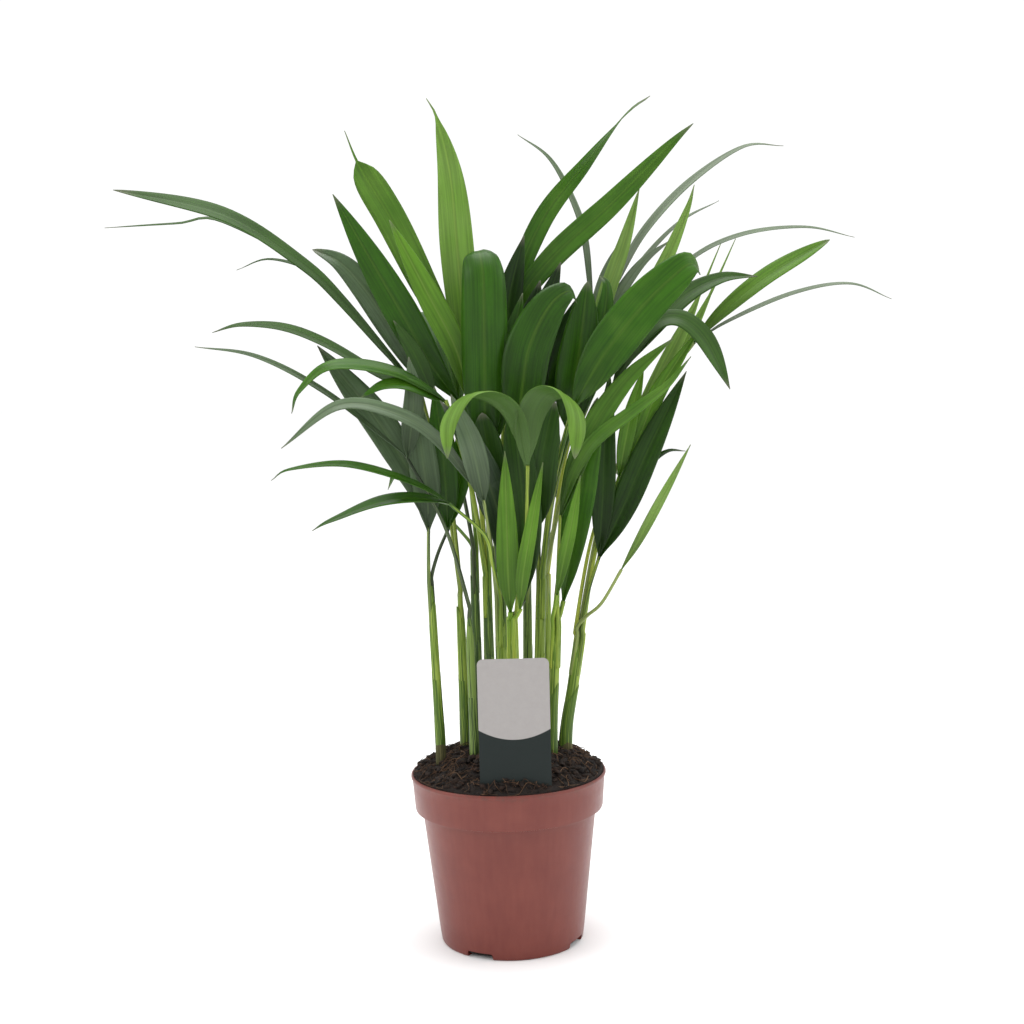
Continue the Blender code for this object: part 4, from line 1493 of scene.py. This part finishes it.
def build_stem(name, stem, materials):
    """A seedling's cane: a core, the green sheaths rolled round it and a dry scale leaf at its foot."""
    rng = random.Random("stem " + name)
    skin = Skin()
    shade = rng.uniform(0.0, 0.5)
    line = stem_line(stem, STEM_STEPS)
    crown = crown_radius(name)
    radii = []
    # the cane swells where it leaves the peat, widens to hold its ring of stalks and closes at its very top
    for step in range(STEM_STEPS + 1):
        t = step / STEM_STEPS
        foot_swell = 0.35 * math.exp(-(((t - 0.28) / 0.10) ** 2))
        spread = min(1.0, max(0.0, (t - 0.55) / 0.45))
        spread = spread * spread * (3.0 - 2.0 * spread)
        closing = 1.0 - 0.6 * max(0.0, (t - 0.84) / 0.16) ** 1.5
        radii.append((stem.radius + foot_swell + (crown - 0.25 - stem.radius) * spread) * closing)
    add_tube(skin, line, radii, Vector((1.0, 0.0, 0.0)), 0, shade, sides=16)
    lean = rng.uniform(0.0, 6.28)
    add_sheath(skin, line, radii, reach=0.80, mouth=16.0, lean=lean, slot=0, shade=shade + 0.15)
    radii = [radius + 0.26 for radius in radii]
    lean += rng.uniform(2.2, 4.0)
    add_sheath(skin, line, radii, reach=0.56, mouth=13.0, lean=lean, slot=0, shade=shade - 0.1)
    radii = [radius + 0.24 for radius in radii]
    reach = rng.uniform(0.21, 0.24)
    lean = rng.uniform(0.0, 6.28)
    add_sheath(skin, line, radii, reach=reach, mouth=6.0, lean=lean, slot=1, shade=shade, thick=0.4)
    return skin.to_object("stem_" + name + "_grown", materials)


# ---------------------------------------------------------------- the pot, the peat and the card


def inner_radius(height):
    """Radius of the pot's inner wall at a height."""
    band_foot = POT_HEIGHT - RIM_BAND
    if height >= band_foot + WALL:
        return RIM_RADIUS - WALL - 0.3
    share = (height - FLOOR) / (band_foot - FLOOR)
    return FOOT_RADIUS + (BODY_TOP_RADIUS - FOOT_RADIUS) * share - WALL - GAP


def add_ring(shape, radius, height, segments):
    """A level ring of points about the pot's axis."""
    ring = []
    for step in range(segments):
        angle = 2.0 * math.pi * step / segments
        spot = Vector((radius * math.cos(angle), radius * math.sin(angle), height))
        ring.append(shape.verts.new(spot * MM))
    return ring


def bridge(shape, one, other):
    """A band of faces between two equal rings."""
    for number in range(len(one)):
        after = (number + 1) % len(one)
        shape.faces.new((one[number], one[after], other[after], other[number]))


def shape_object(shape, name, material):
    """Turns a finished shape into a smooth object in the scene."""
    data = bpy.data.meshes.new(name)
    shape.to_mesh(data)
    shape.free()
    data.materials.append(material)
    data.shade_smooth()
    made = bpy.data.objects.new(name, data)
    bpy.context.scene.collection.objects.link(made)
    return made


def pot_profile():
    """Radius and height of the moulded wall: under the foot, up the outside, over the lip and back down."""
    band_foot = POT_HEIGHT - RIM_BAND
    slope = (BODY_TOP_RADIUS - FOOT_RADIUS) / band_foot
    shoulder = RIM_RADIUS - 2.3
    foot = [
        (FOOT_RADIUS - 9.0, 0.0),
        (FOOT_RADIUS - 1.6, 0.0),
        (FOOT_RADIUS - 0.5, 0.35),
        (FOOT_RADIUS, 1.3),
        (FOOT_RADIUS + 0.25, 3.2),
        (FOOT_RADIUS + slope * 6.0, 6.0),
    ]
    body = [(FOOT_RADIUS + slope * band_foot * step / 8.0, band_foot * step / 8.0) for step in range(1, 8)]
    band = [
        (BODY_TOP_RADIUS - 0.35, band_foot - 3.0),
        (BODY_TOP_RADIUS, band_foot - 0.9),
        (BODY_TOP_RADIUS + 0.5, band_foot - 0.25),
        (shoulder - 0.9, band_foot),
        (shoulder - 0.1, band_foot + 0.3),
        (shoulder + 0.15, band_foot + 1.1),
        (shoulder + 0.55, band_foot + 6.5),
        (shoulder + 1.1, band_foot + 14.0),
        (RIM_RADIUS - 0.75, POT_HEIGHT - 2.6),
        (RIM_RADIUS - 0.2, POT_HEIGHT - 2.0),
    ]
    lip = [
        (RIM_RADIUS, POT_HEIGHT - 1.2),
        (RIM_RADIUS - 0.12, POT_HEIGHT - 0.45),
        (RIM_RADIUS - 0.5, POT_HEIGHT),
        (RIM_RADIUS - WALL + 0.1, POT_HEIGHT),
        (RIM_RADIUS - WALL - 0.1, POT_HEIGHT - 0.4),
    ]
    inside = [
        (RIM_RADIUS - WALL - 0.2, POT_HEIGHT - 2.0),
        (shoulder - WALL + 0.2, band_foot + WALL + 1.0),
        (BODY_TOP_RADIUS - WALL + 0.3, band_foot + WALL),
        (BODY_TOP_RADIUS - WALL, band_foot - 1.0),
        (FOOT_RADIUS - WALL + 0.3, FLOOR + 2.0),
        (FOOT_RADIUS - WALL - 1.0, FLOOR),
    ]
    return foot + body + band + lip + inside


def build_pot(segments, material):
    """The thin turned wall with its band, rolled lip and foot, and the water notches cut through the foot."""
    shape = bmesh.new()
    rings = [add_ring(shape, radius, height, segments) for radius, height in pot_profile()]
    for one, other in zip(rings, rings[1:]):
        bridge(shape, one, other)
    shape.faces.new(list(reversed(rings[0])))
    shape.faces.new(rings[-1])
    bmesh.ops.recalc_face_normals(shape, faces=shape.faces)
    pot = shape_object(shape, "nursery_pot", material)
    for number in range(NOTCHES):
        cut_notch(pot, math.radians(FIRST_NOTCH + 360.0 * number / NOTCHES))
    data = pot.data
    data.materials.clear()
    data.materials.append(material)
    data.polygons.foreach_set("material_index", [0] * len(data.polygons))
    data.shade_smooth()
    data.set_sharp_from_angle(angle=math.radians(POT_SHARP_ANGLE))
    return pot


def cut_notch(pot, angle):
    """Cuts one round-cornered notch through the foot, from the pot's outside inwards."""
    shape = bmesh.new()
    bmesh.ops.create_cube(shape, size=1.0)
    size = Vector((2.0 * NOTCH_DEPTH, NOTCH_WIDTH, 2.0 * NOTCH_HEIGHT)) * MM
    bmesh.ops.scale(shape, vec=size, verts=shape.verts)
    corners = [edge for edge in shape.edges if abs(edge.verts[0].co.x - edge.verts[1].co.x) > 0.001]
    bmesh.ops.bevel(shape, geom=corners, offset=NOTCH_CORNER * MM, segments=4, profile=0.5, affect="EDGES")
    bmesh.ops.translate(shape, vec=Vector((FOOT_RADIUS, 0.0, 0.0)) * MM, verts=shape.verts)
    bmesh.ops.rotate(shape, cent=(0.0, 0.0, 0.0), matrix=Matrix.Rotation(angle, 3, "Z"), verts=shape.verts)
    data = bpy.data.meshes.new("notch")
    shape.to_mesh(data)
    shape.free()
    cutter = bpy.data.objects.new("notch", data)
    bpy.context.scene.collection.objects.link(cutter)
    cut = pot.modifiers.new("notch", "BOOLEAN")
    cut.object = cutter
    cut.operation = "DIFFERENCE"
    cut.solver = "EXACT"
    graph = bpy.context.evaluated_depsgraph_get()
    cut_mesh = bpy.data.meshes.new_from_object(pot.evaluated_get(graph))
    pot.modifiers.remove(cut)
    pot.data = cut_mesh
    bpy.data.objects.remove(cutter)


def heap_height(x, y):
    """Height of the peat before its crumbs: a low dome that ends just under the lip, in millimetres."""
    share = min(1.0, math.hypot(x, y) / (RIM_RADIUS - WALL))
    return HEAP_EDGE + HEAP_HEIGHT * (1.0 - share**2.2)


def rough_height(x, y, lump):
    """Height of the peat with its lumps of 17 mm, clods of 6 mm, grit of 2 mm and crumb of a millimetre."""
    place = Vector((x, y, 0.0))
    big = noise.noise(place / 17.0) * 2.2
    clods = abs(noise.noise(place / 6.0 + Vector((7.0, 3.0, 1.0)))) * 3.0
    grit = noise.noise(place / 2.2 + Vector((1.0, 9.0, 4.0))) * 1.0
    fine = noise.noise(place / 0.9) * 0.35
    edge = min(1.0, max(0.0, (RIM_RADIUS - 1.0 - math.hypot(x, y)) / 5.0))
    return heap_height(x, y) + lump * (0.25 + 0.75 * edge) * (big + clods + grit + fine - 1.2)


def build_peat(segments, lump, material):
    """The peat as one clod: a rough dome over a plug that fills the pot."""
    shape = bmesh.new()
    edge_radius = RIM_RADIUS - WALL - 0.6
    count = segments // 3
    rows = []
    for row in range(1, count + 1):
        radius = edge_radius * row / count
        ring = []
        for step in range(segments):
            angle = 2.0 * math.pi * (step + 0.5 * (row % 2)) / segments
            x, y = radius * math.cos(angle), radius * math.sin(angle)
            ring.append(shape.verts.new(Vector((x, y, rough_height(x, y, lump))) * MM))
        rows.append(ring)
    middle = shape.verts.new(Vector((0.0, 0.0, rough_height(0.0, 0.0, lump))) * MM)
    for number in range(segments):
        shape.faces.new((middle, rows[0][number], rows[0][(number + 1) % segments]))
    for height in PLUG_HEIGHTS:
        rows.append(add_ring(shape, inner_radius(height) - 0.3, height, segments))
    for one, other in zip(rows, rows[1:]):
        bridge(shape, one, other)
    shape.faces.new(rows[-1])
    bmesh.ops.recalc_face_normals(shape, faces=shape.faces)
    peat = shape_object(shape, "peat", material)
    marks = peat.data.attributes.new("shade", "FLOAT", "POINT")
    marks.data.foreach_set("value", [0.10] * len(peat.data.vertices))
    return peat


def drop_place(rng, spread):
    """A random place on the heap, no nearer to the lip than spread leaves."""
    angle = rng.uniform(0.0, 2.0 * math.pi)
    radius = spread * math.sqrt(rng.random())
    return radius * math.cos(angle), radius * math.sin(angle)


def build_crumbs(count, lump, material):
    """Loose crumbs and clods of peat lying on the heap, as many small uneven solids in one mesh."""
    rng = random.Random(CRUMB_SEED)
    shape = bmesh.new()
    layer = shape.verts.layers.float.new("shade")
    for _ in range(count):
        size = 0.45 + 1.9 * rng.random() ** 3.2
        x, y = drop_place(rng, RIM_RADIUS - 1.6 - size)
        detail = 2 if size > 1.5 else 1
        made = bmesh.ops.create_icosphere(shape, subdivisions=detail, radius=1.0)["verts"]
        stretch = Vector((rng.uniform(0.9, 2.1), rng.uniform(0.6, 1.0), rng.uniform(0.45, 0.8))) * size
        spin = Matrix.Rotation(rng.uniform(0.0, 6.28), 3, "Z")
        spin = spin @ Matrix.Rotation(rng.uniform(-0.6, 0.6), 3, "X")
        seat = Vector((x, y, rough_height(x, y, lump) + 0.25 * size))
        offset = Vector((rng.uniform(0.0, 90.0), rng.uniform(0.0, 90.0), 0.0))
        tint = rng.uniform(-0.1, 0.55)
        for vert in made:
            bumpy = 1.0 + 0.6 * noise.noise(vert.co * 2.1 + offset)
            spot = vert.co * bumpy
            spot = Vector((spot.x * stretch.x, spot.y * stretch.y, spot.z * stretch.z))
            vert.co = (spin @ spot + seat) * MM
            vert[layer] = tint
    return shape_object(shape, "peat_crumbs", material)


def build_fibres(count, lump, material):
    """Roots and sphagnum threads that lie on the heap and stand out of it."""
    rng = random.Random(FIBRE_SEED)
    skin = Skin()
    for _ in range(count):
        x, y = drop_place(rng, RIM_RADIUS - 4.0)
        heading = rng.uniform(0.0, 2.0 * math.pi)
        length = rng.uniform(5.0, 20.0)
        thick = rng.uniform(0.14, 0.34)
        rise = rng.uniform(0.3, 2.6)
        points = []
        for step in range(5):
            along = length * step / 4.0
            heading += rng.uniform(-0.55, 0.55)
            px, py = x + along * math.cos(heading), y + along * math.sin(heading)
            out = math.hypot(px, py)
            if out > RIM_RADIUS - 1.5:
                px, py = px * (RIM_RADIUS - 1.5) / out, py * (RIM_RADIUS - 1.5) / out
            lift = rise * math.sin(math.pi * (0.15 + 0.8 * step / 4.0)) + rng.uniform(-0.3, 0.5)
            points.append(Vector((px, py, rough_height(px, py, lump) + lift)))
        line = smooth_line(points, 12)
        radii = [thick * (1.0 - 0.6 * number / 12.0) for number in range(13)]
        add_tube(skin, line, radii, Vector((0.3, 0.2, 1.0)), 0, rng.uniform(0.0, 0.8), sides=5)
    return skin.to_object("peat_fibres", [material])


def build_card(material):
    """The label: a thin card with round upper corners, a slight bow and broken edges."""
    half = (LABEL_HIGH.x - LABEL_LOW.x) / 2.0 / MM
    centre_x = (LABEL_HIGH.x + LABEL_LOW.x) / 2.0 / MM
    centre_y = (LABEL_HIGH.y + LABEL_LOW.y) / 2.0 / MM
    thick = (LABEL_HIGH.y - LABEL_LOW.y) / MM
    top, foot = LABEL_HIGH.z / MM, LABEL_LOW.z / MM
    right = []
    for step in range(LABEL_CORNER_STEPS + 1):
        angle = 0.5 * math.pi * step / LABEL_CORNER_STEPS
        x = half - LABEL_CORNER + LABEL_CORNER * math.sin(angle)
        right.append((x, LABEL_CORNER * (1.0 - math.cos(angle))))
    left = [(-x, drop) for x, drop in reversed(right)]
    outline = left + [(x, 0.0) for x in LABEL_COLUMNS] + right
    levels = LABEL_LEVELS
    last = len(outline) - 1
    shape = bmesh.new()
    spots = {}
    for row in range(levels + 1):
        for number, (x, drop) in enumerate(outline):
            height = foot + (top - drop - foot) * row / levels
            bow = LABEL_BOW * (1.0 - (x / half) ** 2) * (height - foot) / (top - foot)
            at_edge = row in (0, levels) or number in (0, last)
            depth = thick / 2.0 * (0.55 if at_edge else 1.0)
            for side in (-1.0, 1.0):
                spot = Vector((centre_x + x, centre_y + side * depth - bow, height))
                spots[row, number, side] = shape.verts.new(spot * MM)
    for row in range(levels):
        for number in range(last):
            for side in (-1.0, 1.0):
                square = [(row, number), (row, number + 1), (row + 1, number + 1), (row + 1, number)]
                shape.faces.new([spots[r, n, side] for r, n in square])
    border = [(0, n) for n in range(last)]
    border += [(r, last) for r in range(levels)]
    border += [(levels, n) for n in range(last, 0, -1)]
    border += [(r, 0) for r in range(levels, 0, -1)]
    for one, other in zip(border, border[1:] + border[:1]):
        shape.faces.new((spots[*one, -1.0], spots[*other, -1.0], spots[*other, 1.0], spots[*one, 1.0]))
    bmesh.ops.recalc_face_normals(shape, faces=shape.faces)
    card = shape_object(shape, "plant_label", material)
    card.data.set_sharp_from_angle(angle=math.radians(LABEL_SHARP_ANGLE))
    return card


# ---------------------------------------------------------------- settings


def colour_setting(name, description, hex_colour):
    """A colour property that starts at an sRGB hex colour."""
    return FloatVectorProperty(
        name=name,
        description=description,
        subtype="COLOR",
        size=4,
        min=0.0,
        max=1.0,
        default=linear(hex_colour),
    )


class PalmPotSettings(bpy.types.PropertyGroup):
    """Roundness and colours of the pot."""

    segments: IntProperty(name="Segments", description="Sides of the wall", default=144, min=48, max=256)
    colour: colour_setting("Colour", "Colour of the plastic", "#642319")
    worn: colour_setting("Worn colour", "Colour of the plastic where it is handled", "#723125")


class PalmPeatSettings(bpy.types.PropertyGroup):
    """Fineness, looseness and colours of the peat."""

    segments: IntProperty(name="Segments", description="Sides of the heap", default=210, min=60, max=300)
    lump: FloatProperty(name="Lumpiness", description="Height of clods, as a share of normal", default=1.0)
    crumbs: IntProperty(name="Crumbs", description="Loose crumbs on the heap", default=1900, min=0, max=4000)
    fibres: IntProperty(name="Fibres", description="Loose fibres on the heap", default=620, min=0, max=1500)
    wet: colour_setting("Wet", "Colour of the wettest peat", "#100b09")
    damp: colour_setting("Damp", "Colour of damp peat", "#21160f")
    dry: colour_setting("Dry", "Colour of drying peat", "#402719")


class PalmPlantSettings(bpy.types.PropertyGroup):
    """Thickness of the stalks and the main green of each tone of leaf."""

    stalk_scale: FloatProperty(
        name="Stalk thickness", description="Leaf stalks' thickness, as a share of normal", default=1.12
    )
    # the dark green stands partly for painted shade on leaves in the crown's shadow, the bright green partly
    # for painted light glowing through leaves, and the grey green partly for a painted sheen of the white room
    # on waxy skin
    dark_green: colour_setting("Dark", "Main green of the old leaves", "#23400c")
    mid_green: colour_setting("Mid", "Main green of the full-grown leaves", "#305c08")
    bright_green: colour_setting("Bright", "Main green of the young leaves", "#5b8424")
    grey_green: colour_setting("Grey", "Main green of the dull, greyish leaves", "#566a4c")


class PalmLabelSettings(bpy.types.PropertyGroup):
    """The plant label's two fields."""

    pale: colour_setting("Upper field", "Colour of the upper field", "#9c9896")
    deep: colour_setting("Lower field", "Colour of the lower field", "#081614")
    line_edge: FloatProperty(
        name="Line at the edges",
        description="Height of the line between the two fields at the card's edges",
        subtype="DISTANCE",
        unit="LENGTH",
        default=142.0 * MM,
    )
    line_middle: FloatProperty(
        name="Line in the middle",
        description="Height of the line between the two fields at the card's middle",
        subtype="DISTANCE",
        unit="LENGTH",
        default=136.0 * MM,
    )


class PalmStudioSettings(bpy.types.PropertyGroup):
    """The camera, the light and the floor."""

    lens: FloatProperty(name="Lens", description="Focal length in millimetres", default=55.3)
    around: FloatProperty(name="Room light", description="Strength of the white room", default=1.06)
    soft: FloatProperty(name="Soft boxes", description="Strength of the soft boxes", default=1.0)
    paper: colour_setting("Paper", "Colour of the floor", "#fafafa")


# ---------------------------------------------------------------- operators


def settle(piece, slot_name, *nodes):
    """Makes a piece ride with the plant and hides the solid parts that it stands for; slot_name is not used.
    """
    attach(piece, "root")
    if nodes:
        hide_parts(*nodes)


class PALM_OT_pot(bpy.types.Operator):
    """Build the nursery pot"""

    bl_idname = "palm.pot"
    bl_label = "Pot"

    def execute(self, context):
        settings = context.scene.palm_pot
        material = pot_material(tuple(settings.colour), tuple(settings.worn))
        settle(build_pot(settings.segments, material), "pot", "pot")
        return {"FINISHED"}


class PALM_OT_peat(bpy.types.Operator):
    """Build the heaped peat with its crumbs and fibres"""

    bl_idname = "palm.peat"
    bl_label = "Peat"

    def execute(self, context):
        settings = context.scene.palm_peat
        clod = peat_material(
            "damp_shredded_peat", tuple(settings.wet), tuple(settings.damp), tuple(settings.dry)
        )
        fibre = peat_material("dry_peat_fibre", *(linear(colour) for colour in FIBRE_COLOURS))
        settle(build_peat(settings.segments, settings.lump, clod), "soil", "soil")
        settle(build_crumbs(settings.crumbs, settings.lump, clod), "soil")
        settle(build_fibres(settings.fibres, settings.lump, fibre), "soil")
        return {"FINISHED"}


class PALM_OT_stems(bpy.types.Operator):
    """Build the canes of rolled leaf sheaths"""

    bl_idname = "palm.stems"
    bl_label = "Stems"

    def execute(self, context):
        green = stalk_material("palm_leaf_sheath", SHEATH_COLOURS)
        dusky = stalk_material("palm_leaf_sheath_dark", DUSKY_SHEATH_COLOURS)
        dry = scale_leaf_material()
        for name, stem in STEMS.items():
            skin = dusky if name in DUSKY_STEMS else green
            settle(build_stem(name, stem, [skin, dry]), "stem", "stem_" + name)
        return {"FINISHED"}


class PALM_OT_leaves(bpy.types.Operator):
    """Build the leaves, each with its stalk and blades"""

    bl_idname = "palm.leaves"
    bl_label = "Leaves"

    def execute(self, context):
        settings = context.scene.palm_plant
        skins = {tone: leaf_material(tone, tuple(getattr(settings, tone + "_green"))) for tone in TONES}
        stalks = {
            tone: stalk_material("palm_stalk_" + tone, colours) for tone, colours in STALK_COLOURS.items()
        }
        for stem_name in STEMS:
            for name, foot in stalk_feet(stem_name).items():
                leaf = LEAVES[name]
                stalk = stalks[STALK_TONES.get(name, leaf.tone)]
                stout = settings.stalk_scale * STOUT_STALKS.get(name, 1.0)
                materials = [skins[leaf.tone], stalk]
                materials += [skins[tone] for (owner, _), tone in BLADE_TONES.items() if owner == name]
                piece = build_leaf(name, leaf, foot, materials, stout)
                settle(piece, "leaf_" + leaf.tone, "leaf_" + name)
        return {"FINISHED"}


class PALM_OT_label(bpy.types.Operator):
    """Build the blank plant label"""

    bl_idname = "palm.label"
    bl_label = "Label"

    def execute(self, context):
        settings = context.scene.palm_label
        material = card_material(
            tuple(settings.pale), tuple(settings.deep), settings.line_edge, settings.line_middle
        )
        settle(build_card(material), "label", "label")
        return {"FINISHED"}


def add_soft_box(name, place, size, power):
    """A square area light that faces the middle of the plant."""
    data = bpy.data.lights.new(name, "AREA")
    data.shape = "SQUARE"
    data.size = size
    data.energy = power
    light = bpy.data.objects.new(name, data)
    light.location = place
    light.rotation_euler = (Vector(SOFT_BOX_AIM) - Vector(place)).to_track_quat("-Z", "Y").to_euler()
    bpy.context.scene.collection.objects.link(light)


def add_camera(lens):
    """The camera, which looks a little down and is rolled by a degree and a half."""
    data = bpy.data.cameras.new("camera")
    data.lens = lens
    data.sensor_width = SENSOR_WIDTH
    camera = bpy.data.objects.new("camera", data)
    forward = Vector((0.0, math.cos(CAMERA_DOWN), -math.sin(CAMERA_DOWN)))
    right = Vector((1.0, 0.0, 0.0))
    up = right.cross(forward)
    rolled_right = math.cos(CAMERA_ROLL) * right - math.sin(CAMERA_ROLL) * up
    rolled_up = math.sin(CAMERA_ROLL) * right + math.cos(CAMERA_ROLL) * up
    turned = Matrix((rolled_right, rolled_up, -forward)).transposed().to_4x4()
    camera.matrix_world = Matrix.Translation(CAMERA_PLACE) @ turned
    bpy.context.scene.collection.objects.link(camera)
    return camera


class PALM_OT_studio(bpy.types.Operator):
    """Build the white paper floor, the soft light and the camera"""

    bl_idname = "palm.studio"
    bl_label = "Studio"

    def execute(self, context):
        settings = context.scene.palm_studio
        scene = context.scene
        bpy.ops.mesh.primitive_plane_add(size=FLOOR_SIZE, location=(0.0, 0.0, 0.0))
        floor = context.active_object
        floor.name = "paper_floor"
        floor.data.materials.append(paper_material(tuple(settings.paper)))

        world = bpy.data.worlds.new("white_room")
        world.use_nodes = True
        room = world.node_tree.nodes["Background"]
        room.inputs["Color"].default_value = (1.0, 1.0, 1.0, 1.0)
        room.inputs["Strength"].default_value = settings.around
        scene.world = world
        for name, place, size, power in SOFT_BOXES:
            add_soft_box(name, place, size, power * settings.soft)
        scene.camera = add_camera(settings.lens)
        scene.view_settings.view_transform = "Standard"
        return {"FINISHED"}


class PALM_PT_panel(bpy.types.Panel):
    """Settings of the potted palm and a button for each group of pieces"""

    bl_label = "Potted palm"
    bl_idname = "PALM_PT_panel"
    bl_space_type = "VIEW_3D"
    bl_region_type = "UI"
    bl_category = "Potted palm"

    def draw(self, context):
        for group, names, operator in PANEL_ROWS:
            box = self.layout.box()
            for name in names:
                box.prop(getattr(context.scene, group), name)
            box.operator(operator)


PANEL_ROWS = (
    ("palm_pot", ("segments", "colour", "worn"), "palm.pot"),
    ("palm_peat", ("segments", "lump", "crumbs", "fibres", "wet", "damp", "dry"), "palm.peat"),
    ("palm_plant", (), "palm.stems"),
    ("palm_plant", ("stalk_scale", "dark_green", "mid_green", "bright_green", "grey_green"), "palm.leaves"),
    ("palm_label", ("pale", "deep", "line_edge", "line_middle"), "palm.label"),
    ("palm_studio", ("lens", "around", "soft", "paper"), "palm.studio"),
)
SETTINGS = {
    "palm_pot": PalmPotSettings,
    "palm_peat": PalmPeatSettings,
    "palm_plant": PalmPlantSettings,
    "palm_label": PalmLabelSettings,
    "palm_studio": PalmStudioSettings,
}
CLASSES = (
    *SETTINGS.values(),
    PALM_OT_pot,
    PALM_OT_peat,
    PALM_OT_stems,
    PALM_OT_leaves,
    PALM_OT_label,
    PALM_OT_studio,
    PALM_PT_panel,
)


def register():
    """Registers the classes and gives the scene their settings."""
    for made in CLASSES:
        bpy.utils.register_class(made)
    for name, group in SETTINGS.items():
        setattr(bpy.types.Scene, name, PointerProperty(type=group))


def unregister():
    """Takes the settings and the classes away again."""
    for name in SETTINGS:
        delattr(bpy.types.Scene, name)
    for made in reversed(CLASSES):
        bpy.utils.unregister_class(made)


def main():
    """Builds everything in order."""
    register()
    bpy.ops.palm.pot()
    bpy.ops.palm.peat()
    bpy.ops.palm.stems()
    bpy.ops.palm.leaves()
    bpy.ops.palm.label()
    bpy.ops.palm.studio()


if __name__ == "__main__":
    main()
